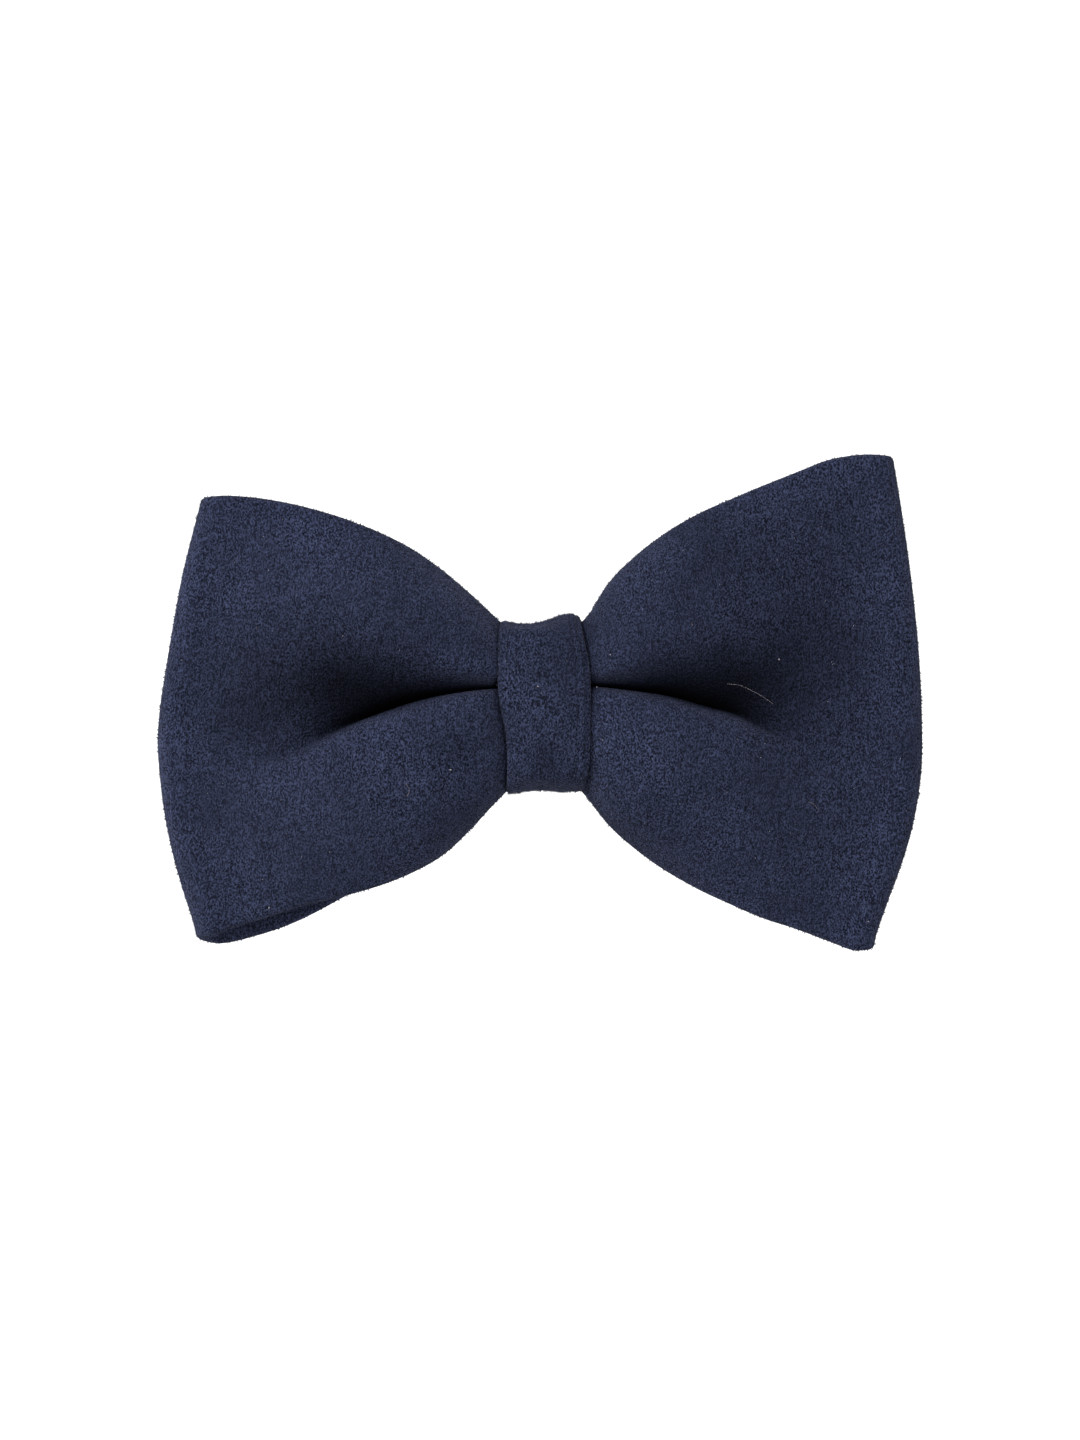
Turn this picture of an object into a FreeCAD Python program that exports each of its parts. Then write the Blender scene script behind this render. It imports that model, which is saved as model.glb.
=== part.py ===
# Clip-on bow tie: a padded velvet loop pinched at the waist, a knot band, and a sprung collar clip.
#
# Row frame, in millimetres: +X to the right as the tie is seen from the front, -Y forwards,
# +Y towards the wearer's collar, +Z up. The origin is the middle of the clip plate's rear face,
# which is the plane that the collar is gripped against, at the height of the knot's middle.
import FreeCAD
import Part

import math
import os
from collections import namedtuple

V = FreeCAD.Vector

# ---------------------------------------------------------------- the bow's cloth
Wing = namedtuple("Wing", "side reach widest top bottom top_curve bottom_curve top_drop bottom_drop")
RIGHT_WING = Wing(side=1, reach=59.1, widest=-0.08, top=39.0, bottom=38.3,
                  top_curve=2.2, bottom_curve=1.8, top_drop=5.0, bottom_drop=7.7)
LEFT_WING = Wing(side=-1, reach=60.8, widest=-0.11, top=32.8, bottom=37.7,
                 top_curve=2.4, bottom_curve=1.8, top_drop=7.3, bottom_drop=7.8)

LEAF_T = 2.2            # one leaf: face cloth, interlining and turned-in cloth
FACE_CLOTH_T = 0.6      # the face cloth on each side of the interlining
CLOTH_GAP = 0.1         # air round a piece that lies inside another piece of cloth
WAIST_HALF_H = 11.6     # the pinched waist, under the knot band
WAIST_DEPTH = 14.2
FOLD_R = 2.0            # middle of the leaf's thickness round the outer fold
FRONT_PUFF = 2.0        # how far the front lobes swell past the waist
VALLEY_END = 0.8        # where the middle pleat fades out, as a share of the wing
VALLEY_FLOOR = 1.5      # middle of the leaf to the bow's mid plane at the pleat's floor
REAR_PLEAT = 0.75       # the rear pleat's depth as a share of the front one's
PLEAT_HALF_W = 0.26     # as a share of the leaf's half height

# ---------------------------------------------------------------- threads and knot
THREAD_D = 0.4
THREAD_GAP = 0.1
BINDING_TURNS = 7
BINDING_PITCH = 1.5
BAND_W = 13.6
BAND_T = 1.5
BAND_CORNER_R = 4.0
BAND_LINING_T = 0.5
BAND_LINING_MARGIN = 1.0 # from the lining's edge to the band's
BAND_BUTT_GAP = 0.3
KNOT_STITCHES = 7
KNOT_STITCH_PITCH = 1.7
KNOT_STITCH_SPAN = 2.6

# ---------------------------------------------------------------- clip
PLATE_L = 50.0
PLATE_H = 11.0
PLATE_T = 0.7
PLATE_NECK_STEP = 1.0   # the plate's edge steps in under the knot band, above and below
PLATE_END_R = 2.5
BAND_SIDE_ROOM = 0.4    # between the knot band's edge and the plate's shoulder
PLATE_TO_BAND = 0.1
HINGE_FROM_BAND = 5.2   # sideways, from the band's edge to the hinge axis
HINGE_Y = 3.0
PIN_D = 1.5
PIN_HEAD_D = 2.5
PIN_HEAD_T = 0.5
PIN_RUNNING_GAP = 0.05
EAR_W = 4.6
EAR_T = 0.7
JAW_EAR_HALF_W = 1.9
SIDE_GAP = 0.15         # between the plate's ears and the jaw's
JAW_T = 0.8
JAW_RISE = 2.6          # from the hinge axis back to the jaw's flat rear face
JAW_TIP_INSET = 1.6     # from the plate's end to the teeth
JAW_TIP_MARGIN = 0.3    # the tip is lower than the plate by this above and below
FLARE_ROOM = 1.1        # along the jaw, between the plate's ear and the wide tip, and the flare itself
LEVER_END_X = 2.2
LEVER_RISE = 2.8        # from the jaw's flat rear face to the lever's end
LEVER_KINK = 2.8        # from the hinge axis to the lever's bend
SHOULDER_RUN = 2.8      # from the shoulder to the teeth
TOOTH_COUNT = 6
TOOTH_DEPTH = 0.7
TOOTH_LAND = 0.3
PAD_T = 0.6
PAD_L = 5.2
PAD_GAP = 0.05
PAD_TO_TOOTH = 0.08
STITCH_HOLE_D = 1.3
STITCH_HOLE_FROM_EAR = 1.05
STITCH_HOLE_FROM_EDGE = 1.8
STITCH_TURN_PITCH = 0.45
STITCH_BITE = 0.8       # how deep the clip's stitches reach past the waist's rear face
SPRING_WIRE_D = 0.5
SPRING_INNER_GAP = 0.3
SPRING_TURNS = 4
SPRING_PITCH = 0.62
SPRING_LEG = 3.7        # sideways, from the hinge axis to the leg's end
SPRING_SEAT_GAP = 0.06

# ---------------------------------------------------------------- places that follow from the sizes
WAIST_REAR_Y = -PLATE_T - THREAD_D - 2 * THREAD_GAP - PLATE_TO_BAND
MID_Y = WAIST_REAR_Y - WAIST_DEPTH / 2
WAIST_FRONT_Y = MID_Y - WAIST_DEPTH / 2
KNOT_EDGE_X = BAND_W / 2
BINDING_HALF_H = WAIST_HALF_H + THREAD_GAP + THREAD_D / 2
BAND_INNER_HALF_H = WAIST_HALF_H + THREAD_D + 2 * THREAD_GAP
BAND_FRONT_INNER_Y = WAIST_FRONT_Y - THREAD_D - 2 * THREAD_GAP
BAND_REAR_INNER_Y = PLATE_TO_BAND
BAND_LINING_W = BAND_W - 2 * BAND_LINING_MARGIN
PLATE_NECK_H = PLATE_H - 2 * PLATE_NECK_STEP
HINGE_X = KNOT_EDGE_X + HINGE_FROM_BAND
STITCH_HOLE_X = HINGE_X - EAR_W / 2 - STITCH_HOLE_FROM_EAR
STITCH_HOLE_Z = PLATE_H / 2 - STITCH_HOLE_FROM_EDGE
JAW_EAR_OUTER_Z = PLATE_H / 2 - EAR_T - SIDE_GAP
JAW_BACK_Y = HINGE_Y + JAW_RISE
JAW_INNER_Y = JAW_BACK_Y - JAW_T
JAW_TIP_X = PLATE_L / 2 - JAW_TIP_INSET
JAW_TIP_H = PLATE_H - 2 * JAW_TIP_MARGIN
JAW_SHOULDER_X = JAW_TIP_X - SHOULDER_RUN
LEVER_KINK_X = HINGE_X - LEVER_KINK
LEVER_END_Y = JAW_BACK_Y + LEVER_RISE
SPRING_LEG_END_X = HINGE_X - SPRING_LEG
PAD_REAR_Y = PAD_GAP + PAD_T
SPRING_MEAN_R = PIN_D / 2 + SPRING_INNER_GAP + SPRING_WIRE_D / 2

FRONT, REAR = -1, 1
HEIGHT_STEPS = 18       # spans between the points of a section's curve, bottom to top
FOLD_ANGLES = (0, 30, 60, 90, 120, 150, 180)
LEAF_STATIONS = (0.0, 0.05, 0.12, 0.22, 0.34, 0.47, 0.6, 0.72, 0.83, 0.92, 1.0)


# ================================================================ the bow's cloth
def edge_height(wing, u):
    """The leaf's top and bottom height at the share u of the way from knot to fold."""
    top = WAIST_HALF_H + (wing.top - WAIST_HALF_H) * (1 - (1 - u) ** wing.top_curve)
    bottom = WAIST_HALF_H + (wing.bottom - WAIST_HALF_H) * (1 - (1 - u) ** wing.bottom_curve)
    return top, -bottom


def outer_reach(wing, v):
    """How far out the fold lies at the height share v, from -1 at the bottom to 1 at the top."""
    above = max(v - wing.widest, 0) / (1 - wing.widest)
    below = max(wing.widest - v, 0) / (1 + wing.widest)
    return wing.reach - wing.top_drop * above ** 2 - wing.bottom_drop * below ** 2


def leaf_offset(face, u, v):
    """How far the middle of a leaf stands from the bow's mid plane."""
    at_waist = WAIST_DEPTH / 2 - LEAF_T / 2
    swell = FRONT_PUFF * math.sin(math.pi * u) * (1 - u) if face == FRONT else 0.0
    crown = FOLD_R + (at_waist - FOLD_R) * math.cos(math.pi / 2 * u) ** 1.2 + swell
    flank = FOLD_R + (crown - FOLD_R) * (1 - abs(v) ** 4)
    fade = max(0.0, 1 - (u / VALLEY_END) ** 2) * (1.0 if face == FRONT else REAR_PLEAT)
    pleat = (crown - VALLEY_FLOOR) * fade * math.exp(-(v / PLEAT_HALF_W) ** 2)
    return flank - pleat


def section(wing, face, u, v_points, fold_angle=None, waist_x=None):
    """Points up the middle of the leaf at one station, and the direction its thickness is laid in."""
    top, bottom = edge_height(wing, u)
    points = []
    for v in v_points:
        z = (top + bottom) / 2 + v * (top - bottom) / 2
        start = KNOT_EDGE_X
        fold_start = outer_reach(wing, v) - FOLD_R - LEAF_T / 2
        if fold_angle is not None:
            a = math.radians(fold_angle)
            x = fold_start + FOLD_R * math.sin(a)
            y = MID_Y - FOLD_R * math.cos(a)
        else:
            x = waist_x if waist_x is not None else start + u * (fold_start - start)
            y = MID_Y + face * leaf_offset(face, u, v)
        points.append(V(wing.side * x, y, z))
    if fold_angle is None:
        return points, V(0, face, 0)
    a = math.radians(fold_angle)
    return points, V(wing.side * math.sin(a), -math.cos(a), 0)


def section_wire(middle, outwards, thickness):
    """A closed wire: the leaf's outer curve, its top edge, its inner curve and its bottom edge."""
    outer = [p + outwards * (thickness / 2) for p in middle]
    inner = [p - outwards * (thickness / 2) for p in middle]
    outer_curve = Part.BSplineCurve()
    outer_curve.interpolate(outer)
    inner_curve = Part.BSplineCurve()
    inner_curve.interpolate(inner[::-1])
    return Part.Wire([
        outer_curve.toShape(),
        Part.makeLine(outer[-1], inner[-1]),
        inner_curve.toShape(),
        Part.makeLine(inner[0], outer[0]),
    ])


def half_loop(wing, thickness, edge_inset):
    """One wing of the loop: from the waist out along the front leaf, round the fold and back."""
    stations = [(FRONT, 0.0, None, 0.0)]
    stations += [(FRONT, u, None, None) for u in LEAF_STATIONS[:-1]]
    stations += [(FRONT, 1.0, angle, None) for angle in FOLD_ANGLES]
    stations += [(REAR, u, None, None) for u in LEAF_STATIONS[-2::-1]]
    stations += [(REAR, 0.0, None, 0.0)]
    wires = []
    for face, u, angle, waist_x in stations:
        top, bottom = edge_height(wing, u)
        limit = 1 - 2 * edge_inset / (top - bottom)
        shares = [limit * (2 * i / HEIGHT_STEPS - 1) for i in range(HEIGHT_STEPS + 1)]
        middle, outwards = section(wing, face, u, shares, angle, waist_x)
        wires.append(section_wire(middle, outwards, thickness))
    return Part.makeLoft(wires, True, False)


def whole_loop(thickness, edge_inset):
    right = half_loop(RIGHT_WING, thickness, edge_inset)
    left = half_loop(LEFT_WING, thickness, edge_inset)
    return right.fuse(left).removeSplitter()


def bow_loop():
    """The face cloth: a loop of doubled cloth with a pocket for the interlining."""
    pocket_t = LEAF_T - 2 * FACE_CLOTH_T
    return whole_loop(LEAF_T, 0.0).cut(whole_loop(pocket_t, FACE_CLOTH_T))


def bow_interlining():
    thickness = LEAF_T - 2 * FACE_CLOTH_T - 2 * CLOTH_GAP
    return whole_loop(thickness, FACE_CLOTH_T + CLOTH_GAP)


# ================================================================ threads and knot band
def rounded_loop(x, y_range, z_range, radius):
    """A closed rounded rectangle in the plane at x, as a wire."""
    (y0, y1), (z0, z1) = y_range, z_range
    k = radius * (1 - math.sqrt(0.5))
    corners = [
        (V(x, y1 - radius, z0), V(x, y1 - k, z0 + k), V(x, y1, z0 + radius)),
        (V(x, y1, z1 - radius), V(x, y1 - k, z1 - k), V(x, y1 - radius, z1)),
        (V(x, y0 + radius, z1), V(x, y0 + k, z1 - k), V(x, y0, z1 - radius)),
        (V(x, y0, z0 + radius), V(x, y0 + k, z0 + k), V(x, y0 + radius, z0)),
    ]
    edges = []
    for i, (first, middle, last) in enumerate(corners):
        edges.append(Part.Arc(first, middle, last).toShape())
        following = corners[(i + 1) % 4][0]
        if (following - last).Length > 1e-6:
            edges.append(Part.makeLine(last, following))
    return Part.Wire(edges)


def thread_loop(x, y_range, z_range, radius, diameter):
    """One closed turn of thread whose middle follows a rounded rectangle."""
    path = rounded_loop(x, y_range, z_range, radius)
    start = path.Edges[0].valueAt(path.Edges[0].FirstParameter)
    along = path.Edges[0].tangentAt(path.Edges[0].FirstParameter)
    ring = Part.Wire(Part.makeCircle(diameter / 2, start, along))
    return path.makePipeShell([ring], True, True)


def waist_binding():
    """The thread that holds the pinch, as closed turns side by side."""
    reach = THREAD_GAP + THREAD_D / 2
    y_range = (WAIST_FRONT_Y - reach, WAIST_REAR_Y + reach)
    z_range = (-BINDING_HALF_H, BINDING_HALF_H)
    first_x = -BINDING_PITCH * (BINDING_TURNS - 1) / 2
    return Part.makeCompound([
        thread_loop(first_x + i * BINDING_PITCH, y_range, z_range, BAND_CORNER_R - BAND_T, THREAD_D)
        for i in range(BINDING_TURNS)
    ])


def band_ring(inset, thickness, width, butt_gap):
    """A flat strip bent round the waist: inset from the band's inner face, its ends apart by butt_gap."""
    def edge(out):
        y_range = (BAND_FRONT_INNER_Y - out, BAND_REAR_INNER_Y + out)
        z_range = (-BAND_INNER_HALF_H - out, BAND_INNER_HALF_H + out)
        return Part.Face(rounded_loop(-width / 2, y_range, z_range, BAND_CORNER_R - BAND_T + out))

    profile = edge(inset + thickness).cut(edge(inset))
    ring = profile.extrude(V(width, 0, 0))
    slot_corner = V(-width, MID_Y, -butt_gap / 2)
    slot = Part.makeBox(2 * width, 2 * WAIST_DEPTH, butt_gap, slot_corner)
    return ring.cut(slot).Solids[0]


def knot_band():
    """The strip round the waist and the clip plate, folded round its own lining."""
    pocket_t = BAND_LINING_T + 2 * CLOTH_GAP
    pocket_inset = (BAND_T - pocket_t) / 2
    end_wall = BAND_BUTT_GAP + 2 * pocket_inset
    pocket = band_ring(pocket_inset, pocket_t, BAND_LINING_W + 2 * CLOTH_GAP, end_wall)
    return band_ring(0.0, BAND_T, BAND_W, BAND_BUTT_GAP).cut(pocket)


def knot_interlining():
    end_gap = BAND_BUTT_GAP + BAND_T - BAND_LINING_T + 2 * CLOTH_GAP
    return band_ring((BAND_T - BAND_LINING_T) / 2, BAND_LINING_T, BAND_LINING_W, end_gap)


def knot_stitches():
    """Whip stitches that draw the band's two ends together behind the plate."""
    rear = BAND_REAR_INNER_Y + BAND_T
    y_range = (rear - THREAD_D / 2, rear + THREAD_D / 3)
    z_range = (-KNOT_STITCH_SPAN / 2, KNOT_STITCH_SPAN / 2)
    first_x = -KNOT_STITCH_PITCH * (KNOT_STITCHES - 1) / 2
    radius = (y_range[1] - y_range[0]) * 0.45
    return Part.makeCompound([
        thread_loop(first_x + i * KNOT_STITCH_PITCH, y_range, z_range, radius, 0.75 * THREAD_D)
        for i in range(KNOT_STITCHES)
    ])


# ================================================================ clip
def hinge_cylinder(radius, z0, z1):
    return Part.makeCylinder(radius, z1 - z0, V(HINGE_X, HINGE_Y, z0))


def ears(outer_z, half_w, base_y):
    """The right-hand pair of ears round the hinge axis, standing on base_y, with the pin's holes."""
    pair = []
    low_y = min(base_y, HINGE_Y)
    post_l = abs(HINGE_Y - base_y)
    for z0 in (outer_z - EAR_T, -outer_z):
        post = Part.makeBox(2 * half_w, post_l, EAR_T, V(HINGE_X - half_w, low_y, z0))
        pair.append(post.fuse(hinge_cylinder(half_w, z0, z0 + EAR_T)))
    bore = hinge_cylinder(PIN_D / 2 + PIN_RUNNING_GAP, -PLATE_H, PLATE_H)
    return pair[0].fuse(pair[1]).cut(bore)


def on_left(shape):
    """The mirror image of a right-hand piece."""
    return shape.mirror(V(0, 0, 0), V(1, 0, 0))


def clip_plate():
    """The stamped plate that carries both hinges, with a neck for the knot band and stitch holes."""
    plate = Part.makeBox(PLATE_L, PLATE_T, PLATE_H, V(-PLATE_L / 2, -PLATE_T, -PLATE_H / 2))
    corners = [e for e in plate.Edges if abs(e.tangentAt(e.FirstParameter).y) > 0.99]
    plate = plate.makeFillet(PLATE_END_R, corners)
    notch_h = (PLATE_H - PLATE_NECK_H) / 2
    notch_w = BAND_W + 2 * BAND_SIDE_ROOM
    for z0 in (PLATE_NECK_H / 2, -PLATE_NECK_H / 2 - notch_h):
        notch = Part.makeBox(notch_w, 3 * PLATE_T, notch_h, V(-notch_w / 2, -2 * PLATE_T, z0))
        plate = plate.cut(notch)
    right_ears = ears(PLATE_H / 2, EAR_W / 2, -PLATE_T)
    plate = plate.fuse([right_ears, on_left(right_ears)])
    for x in (-STITCH_HOLE_X, STITCH_HOLE_X):
        for z in (-STITCH_HOLE_Z, STITCH_HOLE_Z):
            hole = Part.makeCylinder(STITCH_HOLE_D / 2, 3 * PLATE_T, V(x, -2 * PLATE_T, z), V(0, 1, 0))
            plate = plate.cut(hole)
    return plate.removeSplitter()


def clip_stitches():
    """Two turns of thread through each stitch hole, round the plate's edge and into the rear leaf."""
    half_d = THREAD_D / 2
    y_range = (WAIST_REAR_Y - STITCH_BITE, THREAD_GAP + half_d)
    loops = []
    for x in (-STITCH_HOLE_X, STITCH_HOLE_X):
        for turn in (-STITCH_TURN_PITCH / 2, STITCH_TURN_PITCH / 2):
            for side in (-1, 1):
                ends = (side * STITCH_HOLE_Z, side * (PLATE_H / 2 + THREAD_GAP + half_d))
                z_range = (min(ends), max(ends))
                loops.append(thread_loop(x + turn, y_range, z_range, 2 * half_d, THREAD_D))
    return Part.makeCompound(loops)


def thick_path(points, thickness):
    """The closed outline, in the XY plane, of a strip of even thickness along straight runs."""
    def offset(sign):
        moved = []
        for i, (x, y) in enumerate(points):
            normals = []
            for a, b in ((i - 1, i), (i, i + 1)):
                if a >= 0 and b < len(points):
                    dx, dy = points[b][0] - points[a][0], points[b][1] - points[a][1]
                    length = math.hypot(dx, dy)
                    normals.append((-dy / length, dx / length))
            nx = sum(n[0] for n in normals) / len(normals)
            ny = sum(n[1] for n in normals) / len(normals)
            scale = sign * thickness / 2 / (nx * nx + ny * ny)
            moved.append(V(x + nx * scale, y + ny * scale, 0))
        return moved

    outline = offset(1) + offset(-1)[::-1]
    return Part.Face(Part.makePolygon(outline + outline[:1]))


def jaw_planform():
    """The jaw's outline as seen from behind: lever, narrow hinge stretch, wide toothed tip."""
    lever_h, hinge_h, tip_h = PLATE_NECK_H / 2, JAW_EAR_OUTER_Z, JAW_TIP_H / 2
    flare_x = HINGE_X + EAR_W / 2 + FLARE_ROOM
    half = [
        (LEVER_END_X - JAW_T, lever_h),
        (LEVER_KINK_X, hinge_h),
        (flare_x, hinge_h),
        (flare_x + FLARE_ROOM, tip_h),
        (JAW_TIP_X + 2 * JAW_T, tip_h),
    ]
    outline = [V(x, 0, z) for x, z in half] + [V(x, 0, -z) for x, z in half[::-1]]
    planform = Part.Face(Part.makePolygon(outline + outline[:1]))
    return planform.extrude(V(0, 2 * LEVER_END_Y, 0))


def right_jaw():
    """A stamped jaw: lever towards the knot, ears inside the plate's ears, teeth at the outer tip."""
    middle_y = JAW_BACK_Y - JAW_T / 2
    tooth_y = PAD_REAR_Y + PAD_TO_TOOTH
    path = [
        (LEVER_END_X, LEVER_END_Y),
        (LEVER_KINK_X, middle_y),
        (JAW_SHOULDER_X, middle_y),
        (JAW_TIP_X, tooth_y),
    ]
    strip = thick_path(path, JAW_T).extrude(V(0, 0, PLATE_H))
    strip.translate(V(0, 0, -PLATE_H / 2))
    foot = Part.makeBox(PLATE_L, tooth_y, PLATE_H, V(0, 0, -PLATE_H / 2))
    jaw = strip.cut(foot).common(jaw_planform())
    jaw = jaw.fuse(ears(JAW_EAR_OUTER_Z, JAW_EAR_HALF_W, JAW_INNER_Y + JAW_T / 2))
    pitch = JAW_TIP_H / TOOTH_COUNT
    for i in range(TOOTH_COUNT):
        z = -JAW_TIP_H / 2 + (i + 0.5) * pitch
        x0 = JAW_SHOULDER_X
        groove = Part.makePolygon([
            V(x0, tooth_y - 0.01, z - pitch / 2 + TOOTH_LAND / 2),
            V(x0, tooth_y - 0.01, z + pitch / 2 - TOOTH_LAND / 2),
            V(x0, tooth_y + TOOTH_DEPTH, z),
            V(x0, tooth_y - 0.01, z - pitch / 2 + TOOTH_LAND / 2),
        ])
        jaw = jaw.cut(Part.Face(groove).extrude(V(PLATE_L / 4, 0, 0)))
    return jaw.removeSplitter()


def right_pin():
    """The hinge pin, with a peened head outside each of the plate's ears."""
    half = PLATE_H / 2
    pin = hinge_cylinder(PIN_D / 2, -half - PIN_HEAD_T, half + PIN_HEAD_T)
    for z0 in (-half - PIN_HEAD_T, half):
        pin = pin.fuse(hinge_cylinder(PIN_HEAD_D / 2, z0, z0 + PIN_HEAD_T))
    pin = pin.removeSplitter()
    rims = [e for e in pin.Edges if abs(abs(e.CenterOfMass.z) - half - PIN_HEAD_T) < 1e-6]
    return pin.makeFillet(PIN_HEAD_T * 0.6, rims)


def tangent_angle(end_x, end_y):
    """Where on the coil's circle the straight leg to a point leaves it, in radians from +X."""
    dx, dy = end_x - HINGE_X, end_y - HINGE_Y
    return math.atan2(dy, dx), math.acos(SPRING_MEAN_R / math.hypot(dx, dy))


def right_spring():
    """A torsion spring on the pin: one leg on the plate, the other under the lever."""
    seat = SPRING_SEAT_GAP + SPRING_WIRE_D / 2
    plate_leg = (SPRING_LEG_END_X, seat)
    lever_leg = (SPRING_LEG_END_X, JAW_INNER_Y - seat)
    towards, aside = tangent_angle(*plate_leg)
    start = towards + aside
    towards, aside = tangent_angle(*lever_leg)
    end = towards - aside
    turns = SPRING_TURNS + ((end - start) / (2 * math.pi)) % 1
    height = turns * SPRING_PITCH
    helix = Part.makeHelix(SPRING_PITCH, height, SPRING_MEAN_R)
    ring = Part.Wire(Part.makeCircle(SPRING_WIRE_D / 2, V(SPRING_MEAN_R, 0, 0), V(0, 1, 0)))
    coil = Part.Wire(helix).makePipeShell([ring], True, True)
    coil.rotate(V(0, 0, 0), V(0, 0, 1), math.degrees(start))
    coil.translate(V(HINGE_X, HINGE_Y, -height / 2))
    spring = coil
    for angle, (leg_x, leg_y), z in ((start, plate_leg, -height / 2), (end, lever_leg, height / 2)):
        root = V(HINGE_X + SPRING_MEAN_R * math.cos(angle), HINGE_Y + SPRING_MEAN_R * math.sin(angle), z)
        run = V(leg_x, leg_y, z) - root
        spring = spring.fuse(Part.makeCylinder(SPRING_WIRE_D / 2, run.Length, root, run))
    return spring


def right_grip_pad():
    """A soft cap over the plate's end, which the teeth bite against."""
    x0, x1 = PLATE_L / 2 - PAD_L, PLATE_L / 2 + PAD_GAP + PAD_T
    half_h = PLATE_H / 2 + PAD_GAP + PAD_T
    y0 = -PLATE_T - PAD_REAR_Y
    cap = Part.makeBox(x1 - x0, PAD_REAR_Y - y0, 2 * half_h, V(x0, y0, -half_h))
    ends = [e for e in cap.Edges
            if abs(e.tangentAt(e.FirstParameter).y) > 0.99 and e.CenterOfMass.x > x0 + 1e-6]
    cap = cap.makeFillet(PLATE_END_R + PAD_GAP + PAD_T, ends)
    slot_h = PLATE_H + 2 * PAD_GAP
    slot = Part.makeBox(PAD_L + PAD_GAP + PLATE_END_R, PLATE_T + 2 * PAD_GAP, slot_h,
                        V(x0 - PLATE_END_R, -PLATE_T - PAD_GAP, -slot_h / 2))
    ends = [e for e in slot.Edges
            if abs(e.tangentAt(e.FirstParameter).y) > 0.99 and e.CenterOfMass.x > x0]
    return cap.cut(slot.makeFillet(PLATE_END_R, ends))


def main():
    os.makedirs("parts", exist_ok=True)
    nodes = {
        "bow_loop": bow_loop(),
        "bow_interlining": bow_interlining(),
        "waist_binding": waist_binding(),
        "knot_band": knot_band(),
        "knot_interlining": knot_interlining(),
        "knot_stitches": knot_stitches(),
        "clip_plate": clip_plate(),
        "clip_stitches": clip_stitches(),
    }
    for name, make in (("jaw", right_jaw), ("pin", right_pin),
                       ("spring", right_spring), ("grip_pad", right_grip_pad)):
        piece = make()
        nodes["right_" + name] = piece
        nodes["left_" + name] = on_left(piece)
    for name, shape in nodes.items():
        solids = shape.Solids
        if not solids or not all(s.isValid() and s.Volume > 0 for s in solids):
            raise RuntimeError(name + " is not a valid closed solid")
        whole = solids[0] if len(solids) == 1 else Part.makeCompound(solids)
        whole.exportStep("parts/" + name + ".step")
        print(name, len(solids), "solids", round(sum(s.Volume for s in solids), 1), "mm3")


if __name__ == "__main__":
    main()
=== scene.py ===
"""A ready-tied bow tie in navy velvet with a sprung collar clip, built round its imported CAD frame."""

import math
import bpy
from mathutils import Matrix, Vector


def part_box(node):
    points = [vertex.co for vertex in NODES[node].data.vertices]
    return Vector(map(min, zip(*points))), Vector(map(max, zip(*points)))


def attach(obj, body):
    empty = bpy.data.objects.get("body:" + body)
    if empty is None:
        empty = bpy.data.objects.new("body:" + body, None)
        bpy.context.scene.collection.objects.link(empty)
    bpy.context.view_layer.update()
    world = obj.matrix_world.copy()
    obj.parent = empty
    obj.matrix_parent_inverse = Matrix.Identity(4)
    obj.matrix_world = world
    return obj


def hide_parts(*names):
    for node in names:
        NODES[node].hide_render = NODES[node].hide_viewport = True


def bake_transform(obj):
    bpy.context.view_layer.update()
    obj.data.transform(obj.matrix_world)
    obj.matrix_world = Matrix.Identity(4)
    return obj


bl_info = {
    "name": "Velvet bow tie",
    "version": (1, 0, 0),
    "blender": (4, 5, 0),
    "location": "3D View > Sidebar > Bow tie",
    "description": "Builds a padded velvet bow, its knot band, threads and collar clip round the CAD frame",
    "category": "Add Mesh",
}

import bpy
import numpy as np
from bpy.props import FloatProperty, FloatVectorProperty, IntProperty, PointerProperty
from mathutils import Vector

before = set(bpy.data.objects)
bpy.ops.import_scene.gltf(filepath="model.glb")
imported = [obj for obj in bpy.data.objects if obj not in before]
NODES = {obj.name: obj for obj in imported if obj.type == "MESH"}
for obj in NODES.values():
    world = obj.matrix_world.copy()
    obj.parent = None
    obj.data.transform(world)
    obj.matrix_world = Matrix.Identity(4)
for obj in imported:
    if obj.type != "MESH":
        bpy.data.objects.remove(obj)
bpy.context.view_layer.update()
MM = 0.001
BOW_BODY = "bow"


def box_mm(name):
    """The low and high corner of a CAD node's box, in millimetres."""
    low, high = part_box(name)
    return np.array(low) / MM, np.array(high) / MM


BAND_LOW, BAND_HIGH = box_mm("knot_band")
BINDING_LOW, BINDING_HIGH = box_mm("waist_binding")
PIN_CENTRE = sum(box_mm("right_pin"))[:2] / 2
SPRING_LOW, SPRING_HIGH = box_mm("right_spring")
# Diameters of the binding's and the fine stitches' thread, and thickness of the knot band.
THREAD_D = 0.4
FINE_THREAD_D = 0.3
BAND_T = 1.5
# The bow's mid plane, and the half depth and half height of its pinched waist.
MID_Y = (BINDING_LOW[1] + BINDING_HIGH[1]) / 2
WAIST_F = (BINDING_HIGH[1] - BINDING_LOW[1]) / 2 - THREAD_D - 0.1
WAIST_Z = BINDING_HIGH[2] - THREAD_D - 0.1
TAU = 2 * math.pi


# ---------------------------------------------------------------- numbers along a line
def through(points, x):
    """A smooth curve through (x, y) points: cubic Hermite spans with slopes from the neighbours."""
    px, py = np.array(points, float).T
    slope = np.gradient(py, px)
    x = np.clip(x, px[0], px[-1])
    i = np.clip(np.searchsorted(px, x) - 1, 0, len(px) - 2)
    h = px[i + 1] - px[i]
    t = (x - px[i]) / h
    start = py[i] * (1 + 2 * t) * (1 - t) ** 2 + slope[i] * h * t * (1 - t) ** 2
    return start + py[i + 1] * t * t * (3 - 2 * t) + slope[i + 1] * h * t * t * (t - 1)


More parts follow.
